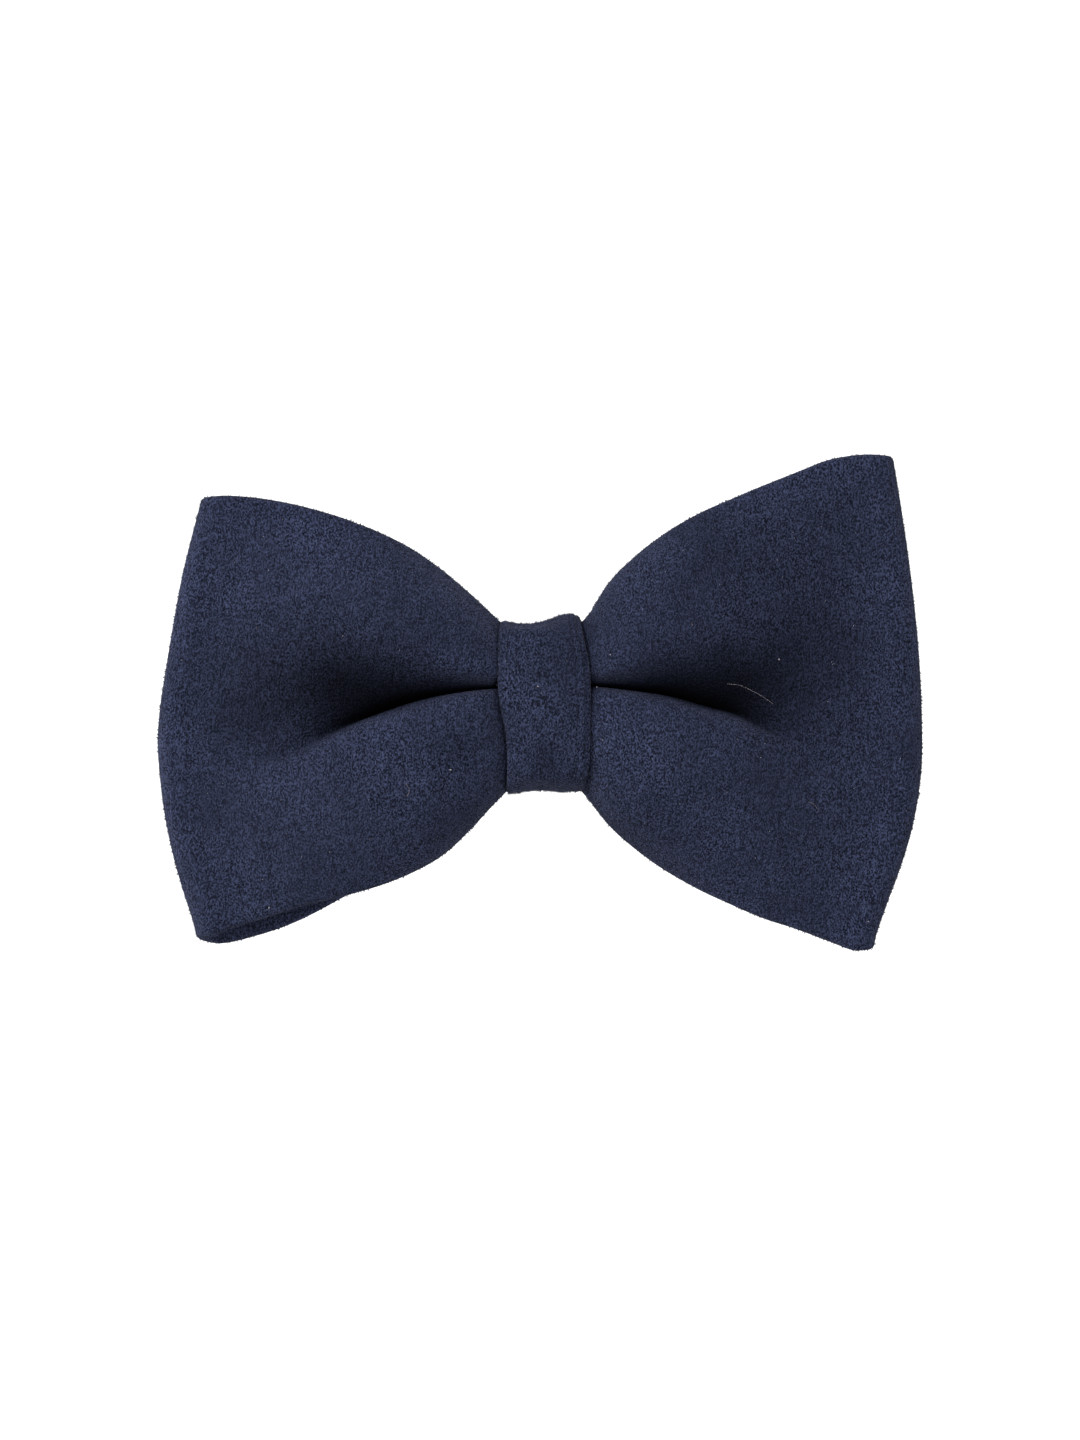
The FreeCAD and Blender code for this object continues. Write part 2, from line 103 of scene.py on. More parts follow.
def ease(low, high, x):
    """0 before low, 1 after high, and 3t^2 - 2t^3 between them."""
    t = np.clip((x - low) / (high - low), 0, 1)
    return t * t * (3 - 2 * t)


def unit(v):
    """v scaled to a length of 1."""
    return v / np.maximum(np.linalg.norm(v, axis=-1, keepdims=True), 1e-12)


def unevenness(a, b, seed):
    """Slow unevenness from -1 to 1: five sine waves across a plane at angles and phases set by seed."""
    rng = np.random.RandomState(seed)
    total = np.zeros(np.broadcast(a, b).shape)
    for _ in range(5):
        angle, wave, phase = rng.uniform(0, TAU), rng.uniform(9, 26), rng.uniform(0, TAU)
        total += np.sin((a * math.cos(angle) + b * math.sin(angle)) * TAU / wave + phase)
    return total / 5


def spaced(line, count, endpoint=True, measured=slice(None)):
    """count points spaced evenly along a line of points, and its length. The given columns are measured."""
    step = np.linalg.norm(np.diff(line[:, measured], axis=0), axis=-1)
    length = np.concatenate([[0], np.cumsum(step)])
    wanted = np.linspace(0, 1, count, endpoint=endpoint)
    points = np.stack([np.interp(wanted, length / length[-1], column) for column in line.T], -1)
    return points, length[-1]


# ---------------------------------------------------------------- meshes
def new_mesh(name, points, faces):
    """A smooth mesh from points in millimetres and faces."""
    mesh = bpy.data.meshes.new(name)
    mesh.from_pydata((points.reshape(-1, 3) * MM).tolist(), [], faces)
    mesh.shade_smooth()
    return mesh


def grid_quads(n, m, wrap_rows, wrap_columns):
    """The quads between neighbours in a grid of n rows and m columns, and their lower row and column."""
    rows, columns = np.arange(n if wrap_rows else n - 1), np.arange(m if wrap_columns else m - 1)
    i, j = np.meshgrid(rows, columns, indexing="ij")
    i2, j2 = (i + 1) % n, (j + 1) % m
    return np.stack([i * m + j, i2 * m + j, i2 * m + j2, i * m + j2], -1).reshape(-1, 4), i, j


def turned_quads(n, m, wrap_rows):
    """The quads of a grid with wrapped columns, seen from the other side."""
    return grid_quads(n, m, wrap_rows, True)[0][:, [0, 3, 2, 1]]


def grid_object(name, points, wrap_rows, wrap_columns, uv=None, caps=False):
    """A mesh object from a grid of points in millimetres, wrapped and capped where asked."""
    n, m = points.shape[:2]
    quads, i, j = grid_quads(n, m, wrap_rows, wrap_columns)
    faces = quads.tolist()
    if caps:
        faces.append(list(range(m)))
        faces.append([(n - 1) * m + k for k in range(m)][::-1])
    mesh = new_mesh(name, points, faces)
    if uv is not None:
        corner_i = np.stack([i, i + 1, i + 1, i], -1).reshape(-1)
        corner_j = np.stack([j, j, j + 1, j + 1], -1).reshape(-1)
        layer = mesh.uv_layers.new(name="cloth")
        values = np.zeros((len(mesh.loops), 2), np.float32)
        values[:len(corner_i), 0] = uv[0][corner_i]
        values[:len(corner_j), 1] = uv[1][corner_j]
        layer.data.foreach_set("uv", values.ravel())
    return linked(name, mesh)


def linked(name, mesh):
    """An object of the mesh, in the scene, with its faces turned outwards."""
    mesh.validate()
    mesh.update()
    piece = bpy.data.objects.new(name, mesh)
    bpy.context.scene.collection.objects.link(piece)
    if signed_volume(mesh) < 0:
        mesh.flip_normals()
    return piece


def triangle_points(mesh):
    """The numbers of the three points of each of the mesh's triangles."""
    mesh.calc_loop_triangles()
    numbers = np.zeros(len(mesh.loop_triangles) * 3, np.int32)
    mesh.loop_triangles.foreach_get("vertices", numbers)
    return numbers.reshape(-1, 3)


def read(items, what, size):
    """One value for each item of a mesh, as size numbers."""
    values = np.zeros(len(items) * size, np.float32)
    items.foreach_get(what, values)
    return values.reshape(-1, size)


def signed_volume(mesh):
    """The volume inside the mesh: a sixth of the sum over its triangles of a . (b x c)."""
    corners = read(mesh.vertices, "co", 3).astype(float)[triangle_points(mesh)]
    a, b, c = corners[:, 0], corners[:, 1], corners[:, 2]
    return float((a * np.cross(b, c)).sum() / 6)


def tube(path, radius, sides):
    """Points of a round tube: rings of the given radius, square to a closed path."""
    ahead = unit(np.roll(path, -1, 0) - np.roll(path, 1, 0))
    seed = np.array([0.0, 0.0, 1.0]) if abs(ahead[:, 2]).max() < 0.9 else np.array([1.0, 0.0, 0.0])
    return rings(path, ahead, seed, radius, sides)


def tube_along(path, radius, sides):
    """Points of a round tube: rings of the given radius, square to an open path that isn't upright."""
    return rings(path, unit(np.gradient(path, axis=0)), [0.0, 0.0, 1.0], radius, sides)


def rings(path, ahead, seed, radius, sides):
    """Circles of points round a path, starting square to seed."""
    side = unit(np.cross(ahead, seed))
    up = np.cross(side, ahead)
    turn = np.linspace(0, TAU, sides, endpoint=False)[None, :, None]
    return path[:, None] + radius * (side[:, None] * np.cos(turn) + up[:, None] * np.sin(turn))


# ---------------------------------------------------------------- the bow's cloth
# The velvet's sheen fades in this many steps of shaded copies, between two values of the painted shade.
SHEEN_STEPS = 6
PLEAT_RIM, PLEAT_DEEP = 0.04, 0.60
# Thickness of a leaf and radius of the outer folds.
LEAF_T = 2.0
FOLD_R = 3.0
# The skin's grid: points out along a leaf, round a fold, and from the top edge to the bottom edge; points round
# an edge; how many outer rows go with one inner row; and points in a section before it is spaced evenly.
COLUMNS = 126
FOLD_COLUMNS = 14
ROWS = 124
EDGE_ROWS = 7
INNER_STEP = 3
DENSE = 700
# Millimetres of cloth to one unit of its UV map, and how many times longer than wide a wale is there.
UV_UNIT = 100
WALE_STRETCH = 9

# Each wing's outline in millimetres: edge heights against the distance from the middle,
# and the outer fold's reach against height. The rear leaf hangs a little lower at the left.
OUTLINE = {
    "right": {
        "top": [(0, WAIST_Z), (4, 11.9), (6.6, 13.6), (9.5, 18.3), (14.5, 23.6), (19.5, 27.5), (24.6, 30.5),
                (29.6, 32.7), (34.6, 34.6), (39.6, 36.5), (44.7, 38.3), (49.0, 39.0), (56, 39.0)],
        "front_bottom": [(0, WAIST_Z), (4, 12.1), (6.6, 14.6), (9.5, 18.4), (14.5, 23.2), (19.5, 26.9),
                         (24.6, 29.8), (29.6, 32.0), (34.6, 33.9), (39.6, 35.4), (44.7, 37.2), (48.5, 38.6),
                         (54, 38.9)],
        "rear_bottom": [(0, WAIST_Z), (4, 12.1), (6.6, 14.6), (9.5, 18.2), (14.5, 22.6), (19.5, 26.1),
                        (24.6, 29.2), (29.6, 31.5), (34.6, 33.4), (39.6, 35.0), (44.7, 36.9), (48.5, 38.5),
                        (54, 38.9)],
        "reach": [(-38.4, 51.9), (-36.4, 52.5), (-31.4, 54.2), (-26.4, 56.0), (-21.4, 57.5), (-11.3, 59.2),
                  (-1.3, 59.3), (8.8, 58.8), (21.4, 57.5), (31.4, 56.1), (38.9, 54.9)],
    },
    "left": {
        "top": [(0, WAIST_Z), (4, 11.9), (6.6, 12.6), (8.1, 14.0), (10.6, 16.4), (15.6, 20.9), (20.6, 24.6),
                (25.7, 27.3), (30.7, 29.2), (35.7, 30.6), (40.7, 31.7), (45.8, 32.4), (50.8, 32.7), (56, 32.6)],
        "front_bottom": [(0, WAIST_Z), (4, 12.1), (6.6, 14.4), (8.1, 15.9), (10.6, 18.7), (15.6, 23.7),
                         (20.6, 26.8), (25.7, 28.9), (32.0, 30.6), (37.0, 31.6), (42.0, 33.0), (47.0, 34.5),
                         (50.5, 35.7), (52.6, 37.0), (54.5, 37.8)],
        "rear_bottom": [(0, WAIST_Z), (4, 12.1), (6.6, 14.2), (8.1, 15.6), (10.6, 18.4), (15.6, 22.8),
                        (20.6, 25.8), (25.7, 28.0), (30.7, 30.2), (35.7, 32.8), (40.7, 35.0), (45.8, 36.6),
                        (50.8, 37.7), (54.5, 37.8)],
        "reach": [(-37.8, 54.8), (-36.4, 55.1), (-31.4, 56.6), (-26.4, 58.0), (-18.8, 59.6), (-11.3, 60.5),
                  (-6.3, 60.8), (-1.3, 60.5), (6.3, 59.4), (13.8, 58.2), (21.4, 56.8), (26.4, 55.6),
                  (32.7, 54.0)],
    },
}

# The depth at which a pleat's painted shade is full in front, and how far the cloth's small unevenness goes
# either way.
DARK_DROP = 5.5
UNEVEN = 0.14
# Each leaf's form against the distance from the middle: crest is how far it stands off the bow's mid plane,
# edge the same at its top and bottom edges, pleat_z the pleat's line, deep its depth, above and below its
# widths, lap how far the lower lobe's lip laps over it, and broad the depth of the soft hollow around it.
CREST = [(0, WAIST_F), (4, 7.3), (6.2, 7.8), (7.6, 9.2), (9, 10.0), (12, 10.7), (16, 11.0), (22, 10.9),
         (30, 9.6), (38, 7.4), (46, 5.1), (52, 3.6), (57, FOLD_R)]
EDGE = [(0, 1.5), (7, 1.5), (12, 1.6), (20, 2.4), (28, 3.6), (36, 4.1), (44, 3.8), (52, 3.2), (57, FOLD_R)]
DEEP = [(0, 0), (4, 1), (7, 4.5), (10, 6), (14, 7.0), (18, 7.8), (22, 8.0)]
ABOVE = [(0, 1.2), (7, 2.2), (10, 3.6), (14, 6.0), (18, 9), (22, 12), (26, 14), (30, 16)]
BELOW = [(0, 0.8), (10, 1.0), (14, 1.2), (18, 1.6), (22, 2.2), (26, 3.0), (30, 4.4), (34, 6.5), (40, 9)]
LAP = [(0, 0), (7, 0.2), (10, 0.4), (14, 0.6), (20, 0.8), (26, 0.6), (30, 0.2), (33, 0)]
BROAD = [(0, 0), (5, 0.4), (10, 1.0), (16, 1.2), (22, 1.0)]
FORM = {
    ("right", "front"): {
        "crest": CREST, "edge": EDGE, "below": BELOW, "lap": LAP,
        "pleat_z": [(0, 2.9), (7.4, 2.8), (13.4, 2.2), (19.7, 1.3), (25.2, -0.2), (29.9, -1.5), (34.6, -3.9),
                    (40, -6.5), (50, -9.5)],
        "deep": DEEP + [(26, 7.4), (30, 6.0), (33, 4.2), (36, 2.2), (40, 0.9), (48, 0)],
        "above": ABOVE + [(36, 18)],
        "broad": BROAD + [(30, 0.7), (40, 0.3), (50, 0)],
    },
    ("left", "front"): {
        "crest": CREST, "edge": EDGE, "below": BELOW, "lap": LAP,
        "pleat_z": [(0, 2.7), (7.2, 2.5), (13.3, 1.9), (19.5, 0.7), (24.3, -0.8), (29, -2.6), (33.7, -4.9),
                    (37.6, -7.0), (46, -9.5)],
        "deep": DEEP + [(26, 7.2), (30, 5.6), (34, 3.7), (38, 2.3), (44, 1.1), (52, 0)],
        "above": ABOVE + [(36, 19)],
        "broad": BROAD + [(30, 0.8), (40, 0.4), (50, 0)],
    },
}
REAR_FORM = {
    "crest": [(0, WAIST_F), (8, 7.1), (24, 7.0), (32, 6.4), (40, 5.2), (48, 3.9), (57, FOLD_R)],
    "edge": [(0, 1.5), (7, 1.5), (12, 1.6), (20, 2.2), (28, 2.9), (36, 3.3), (44, 3.3), (52, 3.1),
             (57, FOLD_R)],
    "pleat_z": [(0, -0.6), (20, -0.8), (40, -2)],
    "deep": [(0, 0), (4, 0.4), (7, 1.8), (12, 2.8), (18, 3.0), (26, 2.2), (34, 1.0), (42, 0)],
    "above": [(0, 1.4), (8, 1.6), (14, 2.4), (22, 5), (34, 9)],
    "below": [(0, 1.4), (8, 1.5), (14, 2.2), (22, 4.6), (34, 8)],
    "lap": [(0, 0), (40, 0)],
    "broad": [(0, 0), (40, 0)],
}
FORM["right", "rear"] = FORM["left", "rear"] = REAR_FORM
# Shallow dents in the front leaf, as (x, z, half width, half height, lean in degrees, depth). On both wings x
# is measured outwards from the middle.
DENTS = {
    "right": [(41, 10, 9, 3.6, 52, 0.55), (13.5, -8.5, 3.0, 3.0, 0, 0.3), (30, 22, 9, 4, 40, 0.25),
              (46, -12, 5, 9, 0, 0.25)],
    "left": [(45, -3.5, 6.5, 4.5, 0, 0.55), (10.8, -8.0, 3.2, 3.2, 0, 0.65), (34, 17, 8, 4, -30, 0.25),
             (44, -20, 6, 8, 20, 0.2)],
}
SIGN = {"right": 1.0, "left": -1.0}
# Patches of painted shade in front, as (x, z, half width, half height, share), with x as for the dents. The first
# table's patches widen the painted shade of the pleats and count above the pleat's line only; the second's lie on
# the lobes and on the knot.
PLEAT_SHADE = {"right": (30.5, 2.6, 11, 6.9, 0.82), "left": (32.5, 3, 14, 8.4, 0.86)}
SHADE_PATCHES = {
    "right": [(41, 9, 10, 11, 0.34), (32, 23, 17, 12, 0.27), (15, -19, 10, 6, 0.18), (40, -5, 5, 4, 0.2)],
    "left": [(47, -2, 8, 6, 0.34), (46, 9, 6, 6, 0.22), (36, 12, 5, 4, 0.25), (15.5, -7.5, 4, 3.6, 0.28),
             (27, -15, 6, 5, 0.1), (28, -6.5, 10, 4, 0.12)],
    "knot": [(0, -8.6, 2.0, 3.2, 0.42), (1.0, 4.2, 1.6, 2.6, 0.15), (-4.6, -2.5, 1.4, 4.0, 0.10)],
}


def leaf_skin(side, leaf):
    """The outer skin of one leaf of one wing, from the middle of the bow out to where its outer fold begins.

    At each distance from the middle the section runs from the top edge to the bottom edge. It stands off
    the mid plane by edge + (crest - edge) * (1 - |v|^n)^q, less a soft hollow and a pleat. Above the pleat's
    line the pleat is deep * (1 - t)^2.2; below it the same drop is steeper, and its lip laps up over the line.
    The points are then spaced evenly along each section. Each point's fourth number is the shade painted there,
    from 0 to 1: deep in the pleat, in the patches of painted shade, and beside the knot."""
    outline, form = OUTLINE[side], FORM[side, leaf]
    out = np.linspace(0, 1, COLUMNS) ** 0.92
    top_reach = through(outline["reach"], outline["top"][-1][1]) - FOLD_R
    low_reach = through(outline["reach"], -outline["front_bottom"][-1][1]) - FOLD_R
    mid_reach = through(outline["reach"], 0.0) - FOLD_R
    x = (out * mid_reach)[:, None]
    value = {key: through(points, x) for key, points in form.items()}
    soft_edge = LEAF_T / 2 * ease(0.15, 0.6, out)[:, None]
    top = through(outline["top"], out * top_reach)[:, None] - soft_edge
    bottom = through(outline[leaf + "_bottom"], out * low_reach)[:, None] - soft_edge

    line = value["pleat_z"] - value["lap"]
    t = np.sin(np.linspace(0, math.pi / 2, DENSE))[None, :]
    z_above = (line + (top - line) * t)[:, ::-1]
    p = np.clip((z_above - line) / value["above"], 0, 1)
    drop_above = value["deep"] * (1 - p) ** 2.2
    s = np.linspace(0, 1, DENSE)[None, :]
    lip = 27 / 4 * s * (1 - s) ** 2
    z_flank = line - value["below"] * s ** 2 + value["lap"] * lip
    drop_flank = value["deep"] * (1 - s) ** 2.5
    z_low = (line - value["below"]) + (-bottom - line + value["below"]) * t
    z = np.concatenate([z_above, z_flank[:, 1:], z_low[:, 1:]], 1)
    drop = np.concatenate([drop_above, drop_flank[:, 1:], np.zeros_like(z_low[:, 1:])], 1)

    v = np.where(z > 0, z / top, z / bottom)
    near_waist = 1 - ease(0.1, 0.62, out)[:, None]
    roundness = 3.4 - 0.9 * near_waist + 2.6 * (1 - ease(0.02, 0.16, out)[:, None])
    power = 1 - 0.5 * near_waist
    crown = np.clip(1 - np.abs(v) ** roundness, 0, 1) ** power
    hollow = value["broad"] * (1 - np.clip(np.abs(z - line) / (0.55 * top), 0, 1)) ** 2
    stand = value["edge"] + (value["crest"] - value["edge"]) * crown - hollow * crown - drop
    flat = ease(0.72, 1.0, out)[:, None]
    along = x * np.ones_like(z)
    if leaf == "front":
        for dx, dz, half_w, half_h, lean, depth in DENTS[side]:
            c, k = math.cos(math.radians(lean)), math.sin(math.radians(lean))
            a = ((along - dx) * c + (z - dz) * k) / half_w
            b = ((z - dz) * c - (along - dx) * k) / half_h
            stand = stand - depth * np.exp(-a * a - b * b)
    seed = {"front": 3, "rear": 8}[leaf] + (side == "left")
    calm = ease(0.1, 0.3, out)[:, None] * (1 - flat)
    stand = stand + UNEVEN * calm * unevenness(along, z, seed)
    stand = FOLD_R + (stand - FOLD_R) * (1 - flat ** 2)

    fold_z = np.where(z > 0, v * outline["top"][-1][1], v * outline["front_bottom"][-1][1])
    reach = through(outline["reach"], fold_z) - FOLD_R
    spread = SIGN[side] * out[:, None] * reach
    y = stand * (-1 if leaf == "front" else 1)
    # Painted shade, from 0 to 1: on the rear leaf a tenth of the pleat's drop; in front the pleat's drop, the
    # patches of painted shade, and a band of painted shade beside the knot.
    painted_shade = drop / 10
    if leaf == "front":
        painted_shade = np.clip(drop / DARK_DROP, 0, 1) ** 1.2
        line_soft = 0.5 + 3 * ease(0.5, 0.75, out)[:, None]
        over = np.clip((z - line) / line_soft + 0.2, 0, 1)
        painted_shade = shaded(painted_shade, along, z, [PLEAT_SHADE[side]], over)
        painted_shade = shaded(painted_shade, along, z, SHADE_PATCHES[side], 1.0)
        # Painted shade on the bow's cloth where it runs in under the knot's band.
        band_edge = abs(through(BAND_RIGHT if side == "right" else BAND_LEFT, z))
        gap = np.clip((along - band_edge) / BAND_GAP, 0, 1)
        painted_shade = darker(painted_shade, 0.92 * (1 - gap) ** 2)
    sections = np.stack([spread, y, z, painted_shade], -1)
    return np.array([spaced(section, ROWS, measured=slice(1, 3))[0] for section in sections])


def darker(painted_shade, share):
    """Painted shade, from 0 to 1, with a share of what is left laid over it."""
    return 1 - (1 - painted_shade) * (1 - share)


def shaded(painted_shade, x, z, patches, weight):
    """Painted shade, from 0 to 1, with each patch of painted shade laid over it as a soft ellipse."""
    for patch_x, patch_z, half_w, half_h, share in patches:
        spot = share * np.exp(-(((x - patch_x) / half_w) ** 2) - ((z - patch_z) / half_h) ** 2)
        painted_shade = darker(painted_shade, spot * weight)
    return painted_shade


def fold_skin(side, start, end):
    """The outer fold between two leaves: half a circle from the front leaf's end to the rear leaf's."""
    turn = np.linspace(0, math.pi, FOLD_COLUMNS + 2)[1:-1]
    mix = (1 - np.cos(turn[:, None, None])) / 2
    points = start[None] * (1 - mix) + end[None] * mix
    points[..., 0] += SIGN[side] * FOLD_R * np.sin(turn)[:, None]
    points[..., 1] = -FOLD_R * np.cos(turn)[:, None]
    return points


def loop_skin():
    """The whole loop's outer skin, once round: right front, right fold, right rear, left rear, left fold and
    left front. The fourth number of each point is leaf_skin's."""
    leaf = {(s, l): leaf_skin(s, l) for s in ("right", "left") for l in ("front", "rear")}
    right_fold = fold_skin("right", leaf["right", "front"][-1], leaf["right", "rear"][-1])
    left_fold = fold_skin("left", leaf["left", "front"][-1], leaf["left", "rear"][-1])[::-1]
    skin = np.concatenate([
        leaf["right", "front"], right_fold, leaf["right", "rear"][::-1],
        leaf["left", "rear"][1:], left_fold, leaf["left", "front"][::-1][:-1],
    ])
    skin = smoothed(skin, 2)
    skin[..., 1] += MID_Y
    return skin


def smoothed(skin, times):
    """The skin after averaging each point with its neighbours along and across, a few times."""
    for _ in range(times):
        skin = (np.roll(skin, 1, 0) + 2 * skin + np.roll(skin, -1, 0)) / 4
        inner = (skin[:, :-2] + 2 * skin[:, 1:-1] + skin[:, 2:]) / 4
        skin = np.concatenate([skin[:, :1], inner, skin[:, -1:]], 1)
    return skin


def skin_normals(skin):
    """Outward unit normals: the cross product of the differences along and across."""
    places = skin[..., :3]
    along = np.roll(places, -1, 0) - np.roll(places, 1, 0)
    across = np.gradient(places, axis=1)
    return unit(np.cross(across, along))


def leaf_section(skin, outer_depth, inner_depth, inset):
    """A closed sleeve from the skin: its outer face, a round edge, its inner face and the other round edge."""
    normal = skin_normals(skin)
    skin = skin[..., :3]
    for _ in range(3):
        normal = unit(np.roll(normal, 1, 0) + normal + np.roll(normal, -1, 0))
    kept = np.arange(inset, skin.shape[1] - inset)
    outer = skin[:, kept] - outer_depth * normal[:, kept]
    inner = skin[:, kept] - inner_depth * normal[:, kept]
    inner = inner[:, np.linspace(0, len(kept) - 1, max(2, len(kept) // INNER_STEP)).round().astype(int)]
    half = (inner_depth - outer_depth) / 2
    turn = np.linspace(0, math.pi, EDGE_ROWS + 2)[1:-1][None, :, None]

    def edge(column, beyond):
        n = normal[:, column]
        out = unit(skin[:, column] - skin[:, column + beyond])
        out = unit(out - (out * n).sum(-1, keepdims=True) * n)
        middle = skin[:, column] - (outer_depth + half) * n
        return middle[:, None] + half * (n[:, None] * np.cos(turn) + out[:, None] * np.sin(turn))

    low_edge = edge(kept[-1], -1)
    top_edge = edge(kept[0], 1)[:, ::-1]
    return np.concatenate([outer, low_edge, inner[:, ::-1], top_edge], 1)


def lengths(points):
    """How far round the loop and how far across the section each grid line lies, in units of the UV map."""
    middle = points[:, points.shape[1] // 4]
    along = np.linalg.norm(np.roll(middle, -1, 0) - middle, axis=-1)
    ring = points[len(points) // 8]
    across = np.linalg.norm(np.roll(ring, -1, 0) - ring, axis=-1)
    return [np.concatenate([[0], np.cumsum(steps)]) / UV_UNIT for steps in (along, across)]


# ---------------------------------------------------------------- the knot band
# Points along the band, across it and round one of its edges, and the gap between its two ends behind.
BAND_PATH = 260
BAND_ACROSS = 64
BAND_EDGE = 8
BAND_ENDS = 0.24
# How far beside the band painted shade lies on the bow's pile.
BAND_GAP = 0.9
# The band's sides against height, and how its top and bottom edges rise and dip across it.
BAND_LEFT = [(-14, -6.1), (-9.6, -5.8), (-4.1, -6.15), (-0.2, -6.95), (4.2, -7.3), (9, -7.15), (13, -7.0)]
BAND_RIGHT = [(-13.5, 6.1), (-9.6, 6.95), (-3.6, 7.15), (2.2, 7.2), (6.1, 7.0), (10, 6.2), (13.6, 5.5)]
BAND_TOP_LIFT = [(-1, -0.75), (-0.5, -1.15), (-0.2, -1.1), (0.2, -0.6), (0.6, 0.2), (0.85, 0.35), (1, 0.1)]
BAND_LOW_LIFT = [(-1, 0.35), (-0.5, -0.1), (0, -0.2), (0.5, 0.05), (0.8, -0.1), (1, -0.1)]


def band_path(count):
    """A rounded rectangle in the YZ plane round the waist and the plate, from the rear joint over and back."""
    rear_r, front_r = 3.4, 4.6
    y0, y1 = BAND_LOW[1] + BAND_T / 2, BAND_HIGH[1] - BAND_T / 2
    z1 = BAND_HIGH[2] - BAND_T / 2
    turn = np.linspace(0, math.pi / 2, 24)
    arcs = []
    for y, z, r, first in ((y1 - rear_r, z1 - rear_r, rear_r, 0), (y0 + front_r, z1 - front_r, front_r, 1),
                           (y0 + front_r, front_r - z1, front_r, 2), (y1 - rear_r, rear_r - z1, rear_r, 3)):
        angle = turn + first * math.pi / 2
        arcs.append(np.stack([y + r * np.cos(angle), z + r * np.sin(angle)], -1))
    dense = np.concatenate([[[y1, BAND_ENDS / 2]], *arcs, [[y1, -BAND_ENDS / 2]]])
    return spaced(dense, count)[0]


def band_points(thickness, margin):
    """The knot band, or with a margin its lining: a flat sleeve carried round band_path. Its face is crowned by
    1 - w^2 across it, its sides follow BAND_LEFT and BAND_RIGHT, its top and bottom edges rise and dip, and a
    folded edge shows as a shallow groove with a ridge beside it."""
    path = band_path(BAND_PATH)
    ahead = unit(np.gradient(path, axis=0))
    outward = np.stack([ahead[:, 1], -ahead[:, 0]], -1)
    if (outward[BAND_PATH // 2] * [1, 0]).sum() > 0:
        outward = -outward
    w = np.linspace(-1, 1, BAND_ACROSS)[None, :]
    y, z = path[:, :1], path[:, 1:]
    half_w = (through(BAND_RIGHT, z) - through(BAND_LEFT, z)) / 2 - margin
    shift = (through(BAND_RIGHT, z) + through(BAND_LEFT, z)) / 2
    front = ease(0.0, 6.0, MID_Y - y)
    top, low = ease(10.5, 12.6, z), ease(10.5, 12.6, -z)
    radius = thickness / 2
    lift = top * through(BAND_TOP_LIFT, w) + low * through(BAND_LOW_LIFT, w)
    face = 0.75 * (1 - w ** 2) * front * (1 - top) * (1 - low)
    groove = -0.22 * np.exp(-(((w - 0.80) * half_w) / 0.16) ** 2)
    ridge = 0.16 * np.exp(-(((w - 0.90) * half_w) / 0.5) ** 2)
    face = face + (groove + ridge) * ease(-4.0, 2.0, MID_Y - y)
    a, b = w * half_w, z * np.ones_like(w)
    dent = 0.28 * np.exp(-((a - 0.8) / 2.4) ** 2 - ((b + 9.2) / 1.8) ** 2)
    face = face + front * (0.10 * unevenness(a * 1.6, b * 1.6, 21) - dent)
    x = shift + w * (half_w - radius)

    def at(offset, across):
        yz = path[:, None] + outward[:, None] * offset[..., None]
        return np.concatenate([across[..., None], yz], -1)

    outer = at(radius + face + lift, x)
    inner = at(-radius + 0.5 * np.minimum(lift, 0), x)[:, ::-3]
    turn = np.linspace(0, math.pi, BAND_EDGE + 2)[1:-1][None, :]

    def edge(k, sign):
        mid = (outer[:, k, 1:] - path) * outward
        level = mid.sum(-1)[:, None] - radius
        across = x[:, k:k + 1] + sign * radius * np.sin(turn)
        return at(level + radius * np.cos(turn), across)

    right = edge(BAND_ACROSS - 1, 1)
    left = edge(0, -1)[:, ::-1]
    return np.concatenate([outer, right, inner, left], 1)


# ---------------------------------------------------------------- threads
# Strands in a thread, points round a strand and along a turn; then as shares of the thread's diameter how far
# a strand winds off its middle, a strand's radius, and the length of one twist.
STRANDS = 3
STRAND_SIDES = 6
STRAND_POINTS = 120
STRAND_OFF, STRAND_R, TWIST = 0.24, 0.27, 2.6
# How far apart the clip's stitches lie side by side, and the height of their inner ends, in millimetres.
STITCH_APART, STITCH_INNER_Z = 0.45, 3.7


def thread_turn(x, y_range, z_range, radius, diameter):
    """One closed turn of twisted thread: three strands wound as helices round a rounded rectangle at x."""
    (y0, y1), (z0, z1) = y_range, z_range
    angle = np.linspace(0, TAU, 400, endpoint=False)
    quarter = ((angle / (math.pi / 2)).astype(int)) % 4
    cy = np.where((quarter == 0) | (quarter == 3), y1 - radius, y0 + radius)
    cz = np.where(quarter < 2, z1 - radius, z0 + radius)
    dense = np.stack([cy + radius * np.cos(angle), cz + radius * np.sin(angle)], -1)
    yz, length = spaced(np.concatenate([dense, dense[:1]]), STRAND_POINTS, endpoint=False)
    ahead = unit(np.roll(yz, -1, 0) - np.roll(yz, 1, 0))
    outward = np.stack([ahead[:, 1], -ahead[:, 0]], -1)
    turns = max(3, round(length / (TWIST * diameter)))
    twist = np.linspace(0, TAU * turns, STRAND_POINTS, endpoint=False)
    offset = STRAND_OFF * diameter
    strands = []
    for k in range(STRANDS):
        phase = twist + TAU * k / STRANDS
        side = x + offset * np.sin(phase)
        centre = yz + outward * (offset * np.cos(phase))[:, None]
        strands.append(tube(np.concatenate([side[:, None], centre], -1), STRAND_R * diameter, STRAND_SIDES))
    return strands


def wound(name, diameter, radius):
    """Seven turns of thread side by side, filling the box of a CAD node."""
    low, high = box_mm(name)
    half = diameter / 2
    pitch = (high[0] - low[0] - diameter) / 6
    y_range, z_range = ((low[k] + half, high[k] - half) for k in (1, 2))
    turns = [thread_turn(low[0] + half + k * pitch, y_range, z_range, radius, diameter) for k in range(7)]
    return sum(turns, [])


